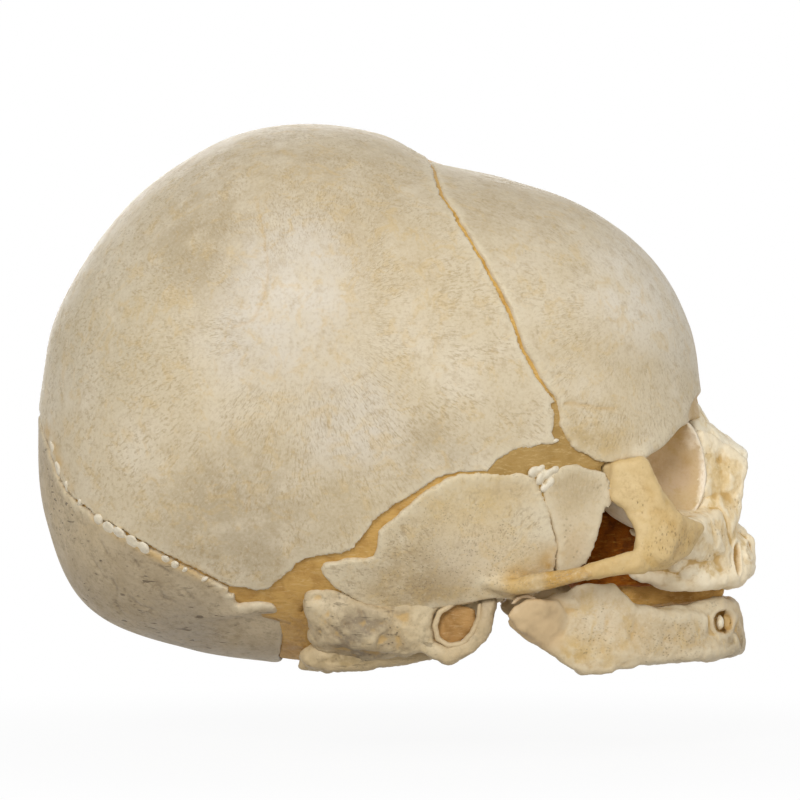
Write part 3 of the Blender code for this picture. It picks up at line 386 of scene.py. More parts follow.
def shape_plate(item, kind, looks):
    """Lays a plate's outer face on the true form, wavers its edges and carves its cracks."""
    mesh = item.data
    points = points_of(mesh)
    centre = form_centre()
    out = points - centre
    radius = np.linalg.norm(out, axis=1)
    way = out / radius[:, None]
    surface = radius / form_reach(points)
    depth = surface - radius
    normals = normals_of(mesh)
    facing = np.sum(normals * way, axis=1)
    lift = outer_depths(points, depth, facing > 0.55)
    lift *= ramp(-depth, -WORK_DEPTH, -0.0024)
    if kind in ("squama", "wing"):
        lift *= ramp(-np.abs(lift), -FACE_BAND, -0.0012)
    fresh_depth = depth - lift
    outer = ramp(-fresh_depth, -0.0006, -0.0003)
    side = (fresh_depth > 0.0004) & (fresh_depth < 0.0010) & (np.abs(facing) < 0.75)
    face = (fresh_depth < RIM_DEPTH)
    rim = np.full(len(points), RIM_REACH)
    rim[face] = distance_to(points[face], points[side][::2], RIM_REACH)
    edge = bell(rim, EDGE_WIDTH)

    relief = 0.00004 * rough(points, 0.007, 11) * outer
    relief += 0.00010 * ramp(-rim, -0.0030, -0.0012) * outer * looks.edge_lift
    relief -= 0.00012 * ramp(-rim, -0.0008, -0.0001) * outer
    sunk, stain, fissure = np.zeros((3, len(points)))
    if kind == "parietal":
        for line in CRACKS:
            away = segment_distance(points, line)
            right = outer * (points[:, 1] < 0)
            relief -= 0.00022 * bell(away, 0.16) * right
            stain += 0.4 * bell(away, 0.22) * right
    if kind in ("parietal", "occipital"):
        away = segment_distance(points, LAMBDOID)
        stain += 0.9 * bell(away, 0.9) * outer * ramp(rough(points, 0.0022, 61), -0.9, 0.3)
    if kind == "frontal":
        away = segment_distance(points, FISSURE)
        relief -= 0.00035 * bell(away, 0.25) * outer
        stain += 0.6 * bell(away, 0.28) * outer
        sunk += 0.0004 * near(points, 8, 88, 9)
        # Past the brow line the bone is sunk and painted darker: painted shade of the recess beside the brow.
        line = np.array(BROW_LINE) / MM
        brow = np.interp(points[:, 2], line[::-1, 1], line[::-1, 0])
        beyond = ramp(points[:, 0] - brow, 0.0, 0.0016) * ramp(-points[:, 2], -0.0490, -0.0470)
        sunk += 0.0011 * beyond
        stain += 0.9 * beyond
    if kind == "occipital":
        for line in OCCIPITAL_CRACKS:
            away = segment_distance(points, line)
            relief -= 0.00022 * bell(away, 0.30) * outer
            fissure += 0.6 * bell(away, 0.22) * outer * ramp(rough(points, 0.0016, 67), -0.7, 0.5)
        away = segment_distance(points, OCCIPITAL_RIDGE)
        line = np.array(OCCIPITAL_RIDGE) / MM
        under = np.interp(points[:, 0], line[:, 0], line[:, 1]) - points[:, 2]
        along = ramp(points[:, 0], -0.036, -0.027)
        relief += 0.00035 * bell(away, 1.1) * outer * along
        sunk += 0.0009 * ramp(under, 0, 0.0022) * ramp(-under, -0.0075, -0.0030) * along
    fresh = centre + way * (surface - fresh_depth + relief - sunk)[:, None]

    shake = np.stack([wander(points, 0.0017, 21 + k) + 0.6 * wander(points, 0.0008, 31 + k)
                      for k in range(3)], axis=1)
    strong = looks.suture_waver * (1 + 2.0 * near(points, -50, 26, 16) + 1.8 * near(points, 24, 40, 6))
    shake *= (edge * strong)[:, None]
    shake -= way * np.sum(shake * way, axis=1)[:, None]
    slant = normals - way * facing[:, None]
    spread = PLATE_SPREAD[kind] + 0.45 * near(points, 27, 43.5, 4) * (kind in VAULT)
    if kind == "squama":
        spread += 0.9 * ramp(points[:, 0], -0.001, 0.006) * ramp(points[:, 2], 0.0255, 0.0290)
    shake += slant * (edge * spread / MM)[:, None]
    fresh += shake * (depth < WAVER_DEPTH)[:, None]
    move_points(mesh, fresh)
    if kind == "frontal":
        brow_zone = ramp(fresh[:, 0], 0.036, 0.041) * ramp(-fresh[:, 2], -0.046, -0.041)
        move_points(mesh, softened(mesh, 30, brow_zone))
    if kind == "occipital":
        move_points(mesh, softened(mesh, 30, ramp(fresh[:, 0], -0.026, -0.020)))
    paint_points(mesh, "rim", ramp(-rim, -RIM_DEPTH, -0.0002) * outer)
    paint_points(mesh, "inside", ramp(fresh_depth, 0.0011, 0.0014))
    paint_points(mesh, "stain", stain)
    paint_points(mesh, "fissure", fissure)


# Materials

class Nodes:
    """Builds a node tree with short calls."""

    def __init__(self, owner):
        owner.use_nodes = True
        self.tree = owner.node_tree
        self.tree.nodes.clear()

    def link(self, source, target):
        if hasattr(source, "is_output"):
            self.tree.links.new(source, target)
        else:
            target.default_value = source

    def node(self, kind, inputs=(), output=0, **settings):
        """Adds a node, feeds its inputs by name or number and gives one output, if it has any."""
        item = self.tree.nodes.new(kind)
        for key, value in settings.items():
            setattr(item, key, value)
        for key, value in dict(inputs).items():
            self.link(value, item.inputs[key])
        return item.outputs[output] if len(item.outputs) else None

    def sum(self, how, first, second=0.0):
        return self.node("ShaderNodeMath", {0: first, 1: second}, operation=how)

    def times(self, first, second):
        return self.sum("MULTIPLY", first, second)

    def less(self, first, second):
        return self.sum("SUBTRACT", first, second)

    def distance(self, first, second):
        return self.sum("SQRT", self.sum("ADD", self.times(first, first), self.times(second, second)))

    def mixed(self, share, first, second):
        return self.node("ShaderNodeMixShader", {0: share, 1: first, 2: second})

    def backdrop_rays(self):
        """1 for the rays that see the white background: from the camera, mirrored or through glass."""
        rays = self.node("ShaderNodeLightPath").node.outputs
        return self.sum("MAXIMUM", rays["Is Camera Ray"],
                        self.sum("MAXIMUM", rays["Is Glossy Ray"], rays["Is Transmission Ray"]))


class Board(Nodes):
    """Builds one material, with places on the object in millimetres."""

    def __init__(self, name):
        self.material = bpy.data.materials.get(name) or bpy.data.materials.new(name)
        super().__init__(self.material)
        self.mm = self.mapped(self.node("ShaderNodeTexCoord", output="Object"), (MM, MM, MM))

    def mapped(self, vector, scale, turn=0.0):
        return self.node("ShaderNodeMapping", {"Vector": vector, "Scale": scale, "Rotation": (0, turn, 0)})

    def axes(self):
        return self.node("ShaderNodeSeparateXYZ", {0: self.mm}).node.outputs

    def noise(self, size, detail=3.0, harsh=0.55, vector=None, fourth=None, warp=0.0):
        inputs = {"Vector": self.mm if vector is None else vector, "Scale": 1 / size, "Detail": detail,
                  "Roughness": harsh, "Distortion": warp}
        if fourth is None:
            return self.node("ShaderNodeTexNoise", inputs, "Fac")
        return self.node("ShaderNodeTexNoise", {**inputs, "W": fourth}, "Fac", noise_dimensions="4D")

    def step(self, value, low, high, start=0.0, end=1.0):
        return self.node("ShaderNodeMapRange", {
            "Value": value, "From Min": low, "From Max": high, "To Min": start, "To Max": end}, "Result",
            interpolation_type="SMOOTHSTEP")

    def blend(self, share, first, second):
        first, second = (value if hasattr(value, "is_output") else (*value, 1.0) for value in (first, second))
        return self.node("ShaderNodeMix", {0: share, 6: first, 7: second}, 2, data_type="RGBA")

    def tint(self, colour, share, strength, paint):
        return self.blend(self.times(share, strength), colour, paint)

    def spot(self, x, z, reach, soft):
        """1 inside a round patch of the side view, in millimetres, fading to 0 outside it."""
        across, _, up = self.axes()
        return self.step(self.distance(self.less(across, x), self.less(up, z)), reach - soft, reach + soft, 1.0, 0.0)

    def attribute(self, name):
        return self.node("ShaderNodeAttribute", output="Fac", attribute_name=name)

    def streaks(self, x, z, y, fine, dash):
        """Noise in fine rays that run out from a bone's middle on either side of the head."""
        across, side, up = self.axes()
        joined = self.node("ShaderNodeCombineXYZ", {
            0: self.less(across, x), 1: self.less(self.sum("ABSOLUTE", side), y), 2: self.less(up, z)})
        wide = self.node("ShaderNodeVectorMath", {0: joined}, operation="NORMALIZE")
        far = self.node("ShaderNodeVectorMath", {0: joined}, "Value", operation="LENGTH")
        return self.noise(1 / fine, 2.0, 0.6, wide, self.times(far, 1 / (fine * dash))), far

    def bump(self, height, strength, depth, under=None):
        inputs = {"Strength": strength, "Distance": depth, "Height": height}
        if under is not None:
            inputs["Normal"] = under
        return self.node("ShaderNodeBump", inputs)

    def principled(self, colour, roughness, **more):
        names = {"gloss": "Specular IOR Level", "normal": "Normal"}
        return self.node("ShaderNodeBsdfPrincipled", {
            "Base Color": colour, "Roughness": roughness, **{names[key]: value for key, value in more.items()}})

    def done(self, shader):
        self.node("ShaderNodeOutputMaterial", {"Surface": shader})
        return self.material


def scaled(colour, share):
    return tuple(share * part for part in colour)


def bone_material(name, looks, base, pale, dark, spots=(), rays=None, pits=0.35, pit_size=0.8,
                  pit_places=(), bare_places=(), pit_shape=(1, 1, 1), rim_pale=0.5, hollow=0.0,
                  roughness=0.52, mottle=0.35, relief=1.0, warm=0.25, fissures=0.0, gristle=None):
    """Dry bone: patches, mottling, fine dashes or pores, pale edges partly painted as a highlight, painted shade in
    hollows, painted highlight on ridges and slight relief.
    """
    board = Board(name)
    colour = board.blend(board.step(board.noise(11, 4, 0.6), 0.38, 0.68), base, pale)
    uneven = board.step(board.noise(5, 4, 0.65), 0.22, 0.62)
    for *patch, paint, share in spots:
        colour = board.tint(colour, board.times(board.spot(*patch), uneven), share, paint)
    clouds = board.noise(2.4, 5, 0.7)
    colour = board.tint(colour, board.step(clouds, 0.50, 0.76), mottle, dark)
    colour = board.tint(colour, board.step(clouds, 0.46, 0.26), 0.5 * mottle, pale)
    honey = board.step(board.noise(3.4, 4, 0.65, warp=0.8), 0.50, 0.66)
    colour = board.tint(colour, honey, warm, looks.honey_colour[:])
    grain = board.noise(0.55, 3, 0.6)
    colour = board.tint(colour, board.step(grain, 0.48, 0.70), 0.26, dark)
    colour = board.tint(colour, board.step(grain, 0.46, 0.30), 0.30, pale)
    heights = board.times(grain, 0.3)
    if rays:
        *place, share = rays
        lines, far = board.streaks(*place)
        fade = board.times(board.step(far, 5, 16), board.step(board.noise(7, 3), 0.32, 0.58))
        dashes = board.times(board.step(lines, 0.50, 0.66), fade)
        colour = board.tint(colour, dashes, share, dark)
        colour = board.tint(colour, board.times(board.step(lines, 0.44, 0.30), fade), 0.5 * share, pale)
        heights = board.less(heights, board.times(dashes, 0.6))
    if fissures:
        cracks = board.step(board.noise(1.0, 2, 0.5, board.mapped(board.mm, (0.30, 0.6, 1.5), 0.4), warp=0.4),
                            0.63, 0.68)
        cracks = board.times(cracks, board.step(board.noise(7, 2), 0.42, 0.54))
        cracks = board.sum("MAXIMUM", cracks, board.attribute("fissure"))
        colour = board.tint(colour, cracks, fissures, scaled(dark, 0.55))
        heights = board.less(heights, board.times(cracks, 1.5 * fissures))
    cells = board.node("ShaderNodeTexVoronoi", {
        "Vector": board.mapped(board.mm, pit_shape), "Scale": 1 / pit_size}, "Distance")
    where = board.step(board.noise(4.5, 2), 0.53, 0.66)
    for patch in pit_places:
        worn = board.times(board.spot(*patch), board.step(clouds, 0.34, 0.52))
        where = board.sum("MAXIMUM", where, worn)
    for patch in bare_places:
        where = board.times(where, board.less(1.0, board.spot(*patch)))
    holes = board.times(board.step(cells, 0.17, 0.32, 1.0, 0.0), where)
    colour = board.tint(colour, holes, pits, scaled(dark, 0.5))
    heights = board.less(heights, board.times(holes, 1.6 * pits))
    # Painted shade in the hollows and a painted highlight on the ridges, from how deep each point lies.
    if hollow:
        deep = board.attribute("hollow")
        colour = board.tint(colour, board.step(deep, 0.54, 0.95), hollow, looks.stain_and_shade_colour[:])
        colour = board.tint(colour, board.step(deep, 0.44, 0.10), 0.7 * hollow, pale)
    # Pale edges: partly the thin bone's own colour, partly a painted highlight on the edges' bevel.
    rim = board.times(board.attribute("rim"), board.step(board.noise(2.2, 3), 0.25, 0.55))
    colour = board.tint(colour, rim, rim_pale, looks.edge_colour[:])
    # Real stains and cracks, with painted shade past the brow line and darker pit walls.
    colour = board.tint(colour, board.attribute("stain"), 0.75, looks.stain_and_shade_colour[:])
    colour = board.tint(colour, board.attribute("inside"), 0.6, looks.inner_colour[:])
    if gristle:
        waxy = board.blend(board.step(board.noise(4.0, 3, 0.5), 0.35, 0.65), gristle, scaled(gristle, 1.12))
        colour = board.blend(board.attribute("gristle"), colour, waxy)
        heights = board.times(heights, board.less(1.0, board.attribute("gristle")))
    low = board.bump(board.noise(4.0, 3, 0.5), 0.30, 0.00030 * relief)
    return board.done(board.principled(
        colour, board.step(clouds, 0.3, 0.7, roughness - 0.06, roughness + 0.1), gloss=0.32,
        normal=board.bump(heights, 0.6, 0.00013 * relief, low)))


def membrane_material(name, base, deep, pale, roughness=0.46, patches=(), gloss=0.3):
    """Dried membrane: amber and uneven, with fine wrinkles, fibres and a slight gloss."""
    board = Board(name)
    clouds = board.noise(3.5, 4, 0.6, warp=0.6)
    fibres = board.noise(0.9, 4, 0.7, warp=1.4)
    shade = board.step(clouds, 0.28, 0.62)
    colour = board.blend(shade, deep, base)
    for *patch, patch_base, patch_deep in patches:
        colour = board.blend(board.spot(*patch), colour, board.blend(shade, patch_deep, patch_base))
    threads = board.noise(0.8, 4, 0.7, board.mapped(board.mm, (0.45, 0.7, 2.2), -0.7), warp=0.8)
    colour = board.tint(colour, board.step(threads, 0.52, 0.70), 0.55, pale)
    colour = board.tint(colour, board.step(threads, 0.46, 0.30), 0.55, scaled(deep, 0.72))
    low = board.bump(clouds, 0.4, 0.0004)
    return board.done(board.principled(
        colour, board.step(fibres, 0.3, 0.7, roughness - 0.08, roughness + 0.15), gloss=gloss,
        normal=board.bump(board.sum("ADD", fibres, threads), 0.6, 0.00014, low)))


def cartilage_material(name, base, pale):
    """Dried cartilage: smooth, slightly waxy, with soft clouds of colour."""
    board = Board(name)
    clouds = board.noise(3.0, 3, 0.5, warp=0.3)
    return board.done(board.principled(
        board.blend(board.step(clouds, 0.3, 0.7), base, pale), board.step(board.noise(0.8, 3), 0.3, 0.7, 0.3, 0.5),
        normal=board.bump(board.noise(1.1, 4), 0.3, 0.0002)))


# Sizes and colours that a user can change

def colour_property(name, description, default):
    return bpy.props.FloatVectorProperty(
        name=name, description=description, default=default, subtype="COLOR", size=3, min=0, max=1)


def length_property(name, description, default, most, least=0.0):
    return bpy.props.FloatProperty(
        name=name, description=description, default=default, min=least, max=most, precision=5,
        subtype="DISTANCE", unit="LENGTH")


class SkullLooks(bpy.types.PropertyGroup):
    """Sizes and colours of the skull's surfaces."""
    plate_grain: length_property("Plate grain", "Edge length of the fine mesh on the vault", 0.00046, 0.002, 0.0002)
    bone_grain: length_property(
        "Bone grain", "Edge length of the fine mesh on the temporal and sphenoid plates", 0.00032, 0.002, 0.0001)
    suture_waver: length_property("Suture waver", "How far the plates' edges wander at the sutures", 0.00022, 0.001)
    edge_lift: bpy.props.FloatProperty(
        name="Edge lift", description="Share of the slight swelling along the plates' edges",
        default=1.0, min=0, max=3, subtype="FACTOR")
    membrane_rise: length_property(
        "Membrane rise", "How far the dried membrane is drawn out towards the surface", 0.0013, 0.0018)
    ivory: colour_property("Ivory bone", "Main colour of the vault", (0.64, 0.54, 0.37))
    pale: colour_property("Pale bone", "Colour of the pale patches", (0.70, 0.61, 0.455))
    brown: colour_property("Brown bone", "Colour of the mottling and dashes", (0.41, 0.295, 0.15))
    # Pale edges, partly a painted highlight on the bevel.
    edge_colour: colour_property("Edges", "Colour of the plates' thin edges", (0.74, 0.65, 0.47))
    inner_colour: colour_property("Inside", "Colour of the inner face", (0.50, 0.38, 0.22))
    # Colour of real stains and cracks, and of the painted shade in hollows and past the brow line.
    stain_and_shade_colour: colour_property("Stain", "Colour of cracks and hollows", (0.56, 0.355, 0.115))
    honey_colour: colour_property("Honey", "Colour of the warm patches", (0.62, 0.44, 0.185))
    amber: colour_property("Membrane", "Main colour of the dried membrane", (0.60, 0.36, 0.105))
    amber_deep: colour_property("Deep membrane", "Dark parts of the membrane", (0.45, 0.245, 0.06))
    amber_pale: colour_property("Pale membrane", "Pale fibres of the membrane", (0.72, 0.50, 0.22))


def looks_of(context):
    return context.scene.skull_looks


# Bars along the cheek arch: place, distance from the midline, height and radius in millimetres
ARCH_REAR = ((32, 33.6, 17.9, 1.15), (28.5, 33.9, 17.3, 1.1), (25, 33.9, 16.9, 1.15),
             (22, 33.2, 16.2, 1.3), (19.5, 31.4, 15.9, 1.2))
ARCH_FRONT = ((41, 31.2, 19.5, 1.5), (37.8, 32, 18.8, 1.35), (34.4, 32.9, 18.3, 1.25), (32.3, 33.6, 17.9, 1.15))


class VaultOperator(bpy.types.Operator):
    """Grows the parietal, frontal, occipital and side plates of the vault"""
    bl_idname = "skull.vault"
    bl_label = "Vault Plates"

    def execute(self, context):
        looks = looks_of(context)
        ivory, pale, brown = looks.ivory[:], looks.pale[:], looks.brown[:]
        white = (0.655, 0.59, 0.485)
        grey_brown = (0.44, 0.355, 0.225)
        parietal = bone_material(
            "parietal_bone", looks, ivory, pale, brown,
            # The dark patch at (-17, 86) over the crown is partly bone tone and partly painted shade where the light
            # grazes the top.
            spots=((-17, 86, 24, 12, (0.52, 0.42, 0.27), 0.75), (-33, 73, 9, 6, grey_brown, 0.7),
                   (-53, 60, 14, 9, (0.54, 0.46, 0.31), 0.6), (-28, 27, 13, 8, grey_brown, 0.75),
                   (6, 38, 6, 4, grey_brown, 0.6), (-6, 30, 9, 6, (0.52, 0.42, 0.26), 0.6),
                   (0, 72, 12, 8, (0.58, 0.47, 0.30), 0.5), (-18, 69, 10, 5, white, 0.9),
                   (-25, 58, 8, 5, white, 0.85), (-8, 44, 8, 5, white, 0.85), (-17, 61, 9, 6, white, 0.6)),
            rays=(-15.6, 60.5, 46.0, 90.0, 1.1, 0.48), roughness=0.50, pits=0.1, mottle=0.5, warm=0.35)
        frontal = bone_material(
            "frontal_bone", looks, ivory, pale, brown,
            # The patch at (20, 84) darkens the crown, partly bone tone and partly painted shade where the light grazes
            # the top; the pale spots at (42, 67) and (51, 60) are a painted highlight on the brow's eminence and
            # painted light on its forward face.
            spots=((20, 84, 13, 9, (0.52, 0.42, 0.27), 0.7), (34, 55, 8, 6, (0.58, 0.46, 0.27), 0.6),
                   (32, 40, 7, 5, (0.50, 0.36, 0.16), 0.8), (42, 67, 10, 6, (0.74, 0.67, 0.55), 0.9),
                   (51, 60, 7, 4, (0.72, 0.65, 0.52), 0.8)),
            rays=(41.0, 64.0, 26.0, 70.0, 1.0, 0.42), pit_places=((34, 40, 6, 4),), roughness=0.50, pits=0.2,
            mottle=0.5, warm=0.35)
        occipital = bone_material(
            "occipital_bone", looks, (0.44, 0.345, 0.215), (0.56, 0.46, 0.31), (0.24, 0.175, 0.10),
            spots=((-26, 6, 7, 4, (0.52, 0.43, 0.30), 0.8), (-38, 7, 6, 4, (0.44, 0.39, 0.32), 0.8),
                   (-43, 13, 10, 6, (0.42, 0.33, 0.21), 0.5), (-57, 28, 9, 5, (0.60, 0.48, 0.30), 0.8),
                   (-24, 12, 5, 3, (0.66, 0.54, 0.36), 0.7)),
            rays=(-50.0, 26.0, 0.0, 30.0, 1.5, 0.4), rim_pale=0.6, fissures=0.8, pits=0.2, warm=0.08, mottle=0.45)
        squama = bone_material(
            "temporal_bone", looks, (0.62, 0.49, 0.29), (0.69, 0.60, 0.43), (0.36, 0.26, 0.15),
            spots=((3, 17, 8, 5, (0.42, 0.31, 0.165), 0.8), (8, 13, 5, 3, (0.40, 0.29, 0.15), 0.7),
                   (3, 27, 7, 5, (0.56, 0.45, 0.27), 0.6),
                   (12, 22, 6, 4, (0.68, 0.58, 0.42), 0.7), (27, 19, 5, 3, (0.50, 0.40, 0.26), 0.5),
                   (-10, 17, 5, 3, (0.68, 0.59, 0.42), 0.7), (12, 32, 7, 4, (0.62, 0.46, 0.21), 0.6),
                   (29, 17.5, 5, 1.5, (0.50, 0.285, 0.06), 1.0), (21, 16, 3, 1.5, (0.56, 0.35, 0.10), 0.8)),
            rays=(14.0, 12.0, 36.0, 30.0, 1.2, 0.5), pits=0.42, pit_size=0.46, warm=0.35,
            pit_places=((2, 19, 8, 5), (14, 18, 8, 5), (4, 29, 5, 4)))
        wing = bone_material(
            "wing_bone", looks, (0.59, 0.47, 0.28), (0.67, 0.57, 0.40), (0.40, 0.30, 0.17),
            spots=((30, 34, 5, 3, (0.50, 0.40, 0.25), 0.6), (29, 22, 5, 4, (0.62, 0.48, 0.30), 0.5)),
            rays=(30.0, 20.0, 32.0, 40.0, 1.5, 0.3), pits=0.4)
        plates = []
        for side in SIDES:
            plates += [
                (f"parietal_{side}", "parietal", looks.plate_grain, parietal),
                (f"frontal_{side}", "frontal", looks.plate_grain, frontal),
                (f"temporal_squama_{side}", "squama", looks.bone_grain, squama),
                (f"sphenoid_greater_wing_{side}", "wing", looks.bone_grain, wing)]
        plates.append(("occipital_squama", "occipital", looks.plate_grain, occipital))
        for node, kind, grain, material in plates:
            item = grown(node, f"{node}_bone", grain, bars=(ARCH_REAR,) if kind == "squama" else ())
            shape_plate(item, kind, looks)
            if kind == "squama":
                root = near(points_of(item.data), 15.6, 16.0, 5.0)
                move_points(item.data, softened(item.data, 45, ramp(root, 0.25, 0.7)))
            finish_piece(item, "cranium", (node,), material)
        return {"FINISHED"}


# Small bones: slot, finish, grain in millimetres, with rounded lumps and bars added to the solid
SMALL_BONES = {
    "occipital_basilar": ("brown_bone", "base", 0.30, (), ()),
    "occipital_lateral": (
        "brown_bone", "base", 0.28,
        (((-15.6, 22.6, 3, 1.5), (-10, 23.6, 4, 1.6), (-9, 22.4, 2.2, 1.9), (-14.6, 19, 2, 1.7)),
         ((-10, 23.4, 3.8, 1.6), (-9, 22, 2.2, 1.8), (2, 22.4, 3.4, 1.4), (5, 21.4, 3.6, 1.3))),
        ()),
    "sphenoid_body": ("brown_bone", "base", 0.30, (), ()),
    "temporal_petrous": (
        "brown_bone", "petrous", 0.28,
        (((-14.6, 28.4, 12.6, 1.6), (-8, 29.8, 12, 1.6), (-2, 29.6, 10, 1.6), (-5, 28.2, 6, 2),
          (-12.4, 26, 6.4, 1.8)),
         ((-3, 29.4, 10.4, 1.6), (3.2, 28.8, 7.4, 1.5), (2.8, 27.4, 4.8, 1.3), (-5, 27.4, 5.6, 1.8)),
         ((-10, 29, 14, 1.2), (-4, 29.4, 12.6, 1.2), (4, 29.2, 11.8, 1.2), (2, 29.2, 9, 1.2),
          (-8, 28.6, 10, 1.2)),
         ((-14, 25.4, 6.6, 1.3), (-6, 26.2, 4.6, 1.3), (2, 26.4, 4.4, 1.2), (-6, 23.6, 3.6, 1.3),
          (-13, 23.6, 5, 1.3))),
        (((-14.9, 28.9, 13.7, 0.9), (-9.4, 30.2, 12.8, 0.9), (-5, 30.4, 11.4, 0.8)),
         ((9, 28, 13.6, 1.5), (4.8, 28.4, 11.8, 1.5), (4, 28.4, 8.4, 1.5), (4.9, 28.1, 4.9, 1.4),
          (8.5, 27.9, 3.5, 1.3), (12.4, 28.1, 5, 1.4), (14.9, 28.2, 8.6, 1.4), (15.6, 27.8, 12.4, 1.5)))),
    "tympanic_ring": ("cream_bone", "ring", 0.20, (), ()),
    "ethmoid": ("cream_bone", "thin", 0.30, (), ()),
    "vomer": ("cream_bone", "thin", 0.30, (), ()),
    "maxilla": (
        "cream_bone", "face", 0.28,
        (((54.4, 8.6, 39.5, 0.8), (57.5, 7.2, 38.8, 0.8), (60.8, 5, 36.3, 0.8), (60.2, 6, 32, 0.9),
          (55.5, 8.8, 31, 1.1)),
         ((47, 19, 26.2, 0.9), (51.6, 20.5, 25.2, 1.1), (54, 11.5, 27, 1.2), (47, 11, 27, 0.9)),
         ((51.5, 19.5, 24.6, 1.3), (55.5, 11.4, 26.5, 1.4), (57, 10, 20, 1.8), (48, 17.6, 19, 1.6)),
         ((55.5, 8.8, 31, 1.2), (52.5, 11.5, 27.6, 1.4), (58.6, 6.6, 28.4, 1), (57.5, 8.6, 24, 1.8)),
         ((49.6, 22.4, 24.8, 1.2), (48.6, 21.6, 21.6, 1.4), (55.6, 10.6, 24.4, 1.6), (55.4, 11, 20, 1.8),
          (52.4, 12.6, 26.2, 1.3)),
         ((49.8, 16.2, 21.4, 1.5), (56.6, 11.4, 20.8, 1.5), (49.8, 16.6, 17.4, 1.4), (56.6, 11.8, 17.2, 1.4),
          (53.4, 13.2, 24, 1.2)),
         ((53, 10.4, 41, 1), (53.2, 11.2, 31.5, 1.2), (55.8, 8.6, 31, 1.2), (56, 7.8, 39.6, 0.9))),
        (((61, 4.4, 35.2, 0.7), (60.2, 5.3, 31.5, 0.7), (59.3, 5.7, 28.6, 0.8), (58.8, 5, 25.2, 0.9),
          (60.8, 2.8, 23.5, 0.9)),
         ((62.1, 2.4, 22.2, 1.1), (62.2, 2.4, 16.9, 1.1)), ((60.9, 5, 21.6, 1), (61, 5, 16.6, 1.1)),
         ((58.3, 8.2, 22, 1.1), (58.4, 8.3, 16.4, 1.2)),
         ((41.5, 17, 17.2, 1.4), (46, 16.8, 16.2, 1.5), (51, 15.2, 15.8, 1.5), (56, 11.6, 15.7, 1.5),
          (60.3, 6, 15.7, 1.4)))),
    "zygomatic": (
        "cream_bone", "cheek", 0.28,
        (((35.7, 29.6, 35.8, 0.8), (35.5, 29.2, 31.6, 0.8), (38, 30.2, 35.8, 0.9), (38, 30, 31, 0.9)),
         ((37.3, 30.6, 35.6, 1), (41.6, 30.4, 36.5, 1), (43.8, 30, 32, 1.2), (44.6, 29.8, 29, 1.3),
          (40.6, 30, 28.4, 1.1), (37.4, 30.3, 30.6, 1)),
         ((42.3, 30, 28.2, 1.3), (44.6, 29.6, 29, 1.3), (47.5, 27.9, 26.6, 1.5), (45, 29.4, 20.8, 1.8),
          (42.3, 30.2, 21.2, 1.3)),
         ((47.5, 27.9, 26.4, 1.5), (52.2, 22.6, 25, 0.9), (49.2, 24.4, 21.6, 1.3), (45.5, 28.4, 20, 1.6))),
        (ARCH_FRONT,)),
    "nasal": (
        "cream_bone", "nasal", 0.25,
        (((52.3, 1.6, 46, 1), (51.6, 5.6, 44.6, 1.1), (54.4, 4.6, 41.8, 0.9), (52.6, 8, 41, 1),
          (54, 1.8, 43, 0.9)),
         ((53.6, 2.2, 43, 0.8), (54.4, 4.4, 41.8, 0.8), (61.2, 3, 37.5, 0.8), (61.3, 1.4, 37.9, 0.7),
          (61.1, 4.2, 35.2, 0.7), (54.6, 6.4, 39.6, 0.8), (53.9, 1, 43, 0.7)),), ()),
    "lacrimal": ("cream_bone", "orbit", 0.25, (), ()),
    "palatine": ("cream_bone", "face", 0.30, (), ()),
    "inferior_concha": ("cream_bone", "thin", 0.25, (), ()),
}
# Small open pits in a bone: place, half width and half height in the side view, and depth, in millimetres
TOOTH_PITS = ((59.7, 19.2, 0.7, 2.6, 1.3), (62, 20.6, 0.5, 1.4, 0.7))
CRYPT_PITS = ((57.1, 8.2, 1.75, 1.9, 1.1),)
SMALL_SWELL = 0.00018
# The ear ring: places, distances from the midline, heights and radii in millimetres
RING_BAR = (
    (12.6, 29.2, 13, 0.7), (9.6, 29.6, 12.5, 0.5), (7.2, 29.7, 10.9, 0.5), (6.3, 29.5, 8.6, 0.5),
    (6.8, 29.2, 6.4, 0.6), (8.6, 29, 5.2, 0.6), (10.9, 29, 5.4, 0.5), (12.7, 29.2, 7.3, 0.5),
    (13.8, 29.2, 9.8, 0.5), (14, 29, 12.2, 0.5))
# Strength of the dents on each kind of bone
BONE_ROUGHNESS = {"face": 1.8, "cheek": 1.1, "nasal": 1.5, "base": 2.4, "petrous": 2.2, "ring": 0.9}


def soften_bone(item, seed, strength=1.0, pits=()):
    """Uneven swelling, dents and open pits on a small bone."""
    mesh = item.data
    points = points_of(mesh)
    normals = normals_of(mesh)
    lift = 0.00018 * rough(points, 0.0046, seed) + 0.00009 * rough(points, 0.0015, seed + 7)
    lift *= strength
    stain = np.zeros(len(points))
    for x, z, half_width, half_height, depth in pits:
        away = np.hypot((points[:, 0] * MM - x) / half_width, (points[:, 2] * MM - z) / half_height)
        inner = ramp(-away, -1.15, -0.75) * ramp(np.abs(normals[:, 1]), 0.25, 0.6)
        inner *= np.sign(points[:, 1]) * normals[:, 1] > 0
        lift -= inner * depth / MM
        lift += 0.00025 * bell(away - 1.25, 0.2)
        # The pits' inner walls are painted darker.
        stain = np.maximum(stain, inner)
    move_points(mesh, points + normals * lift[:, None])
    # Marks how deep each point lies, for the painted shade in hollows and painted highlight on ridges.
    paint_points(mesh, "hollow", 0.5 + 0.5 * hollows(mesh, 60, 0.00020))
    paint_points(mesh, "stain", stain)
    for mark in ("rim", "inside"):
        paint_points(mesh, mark, np.zeros(len(points)))


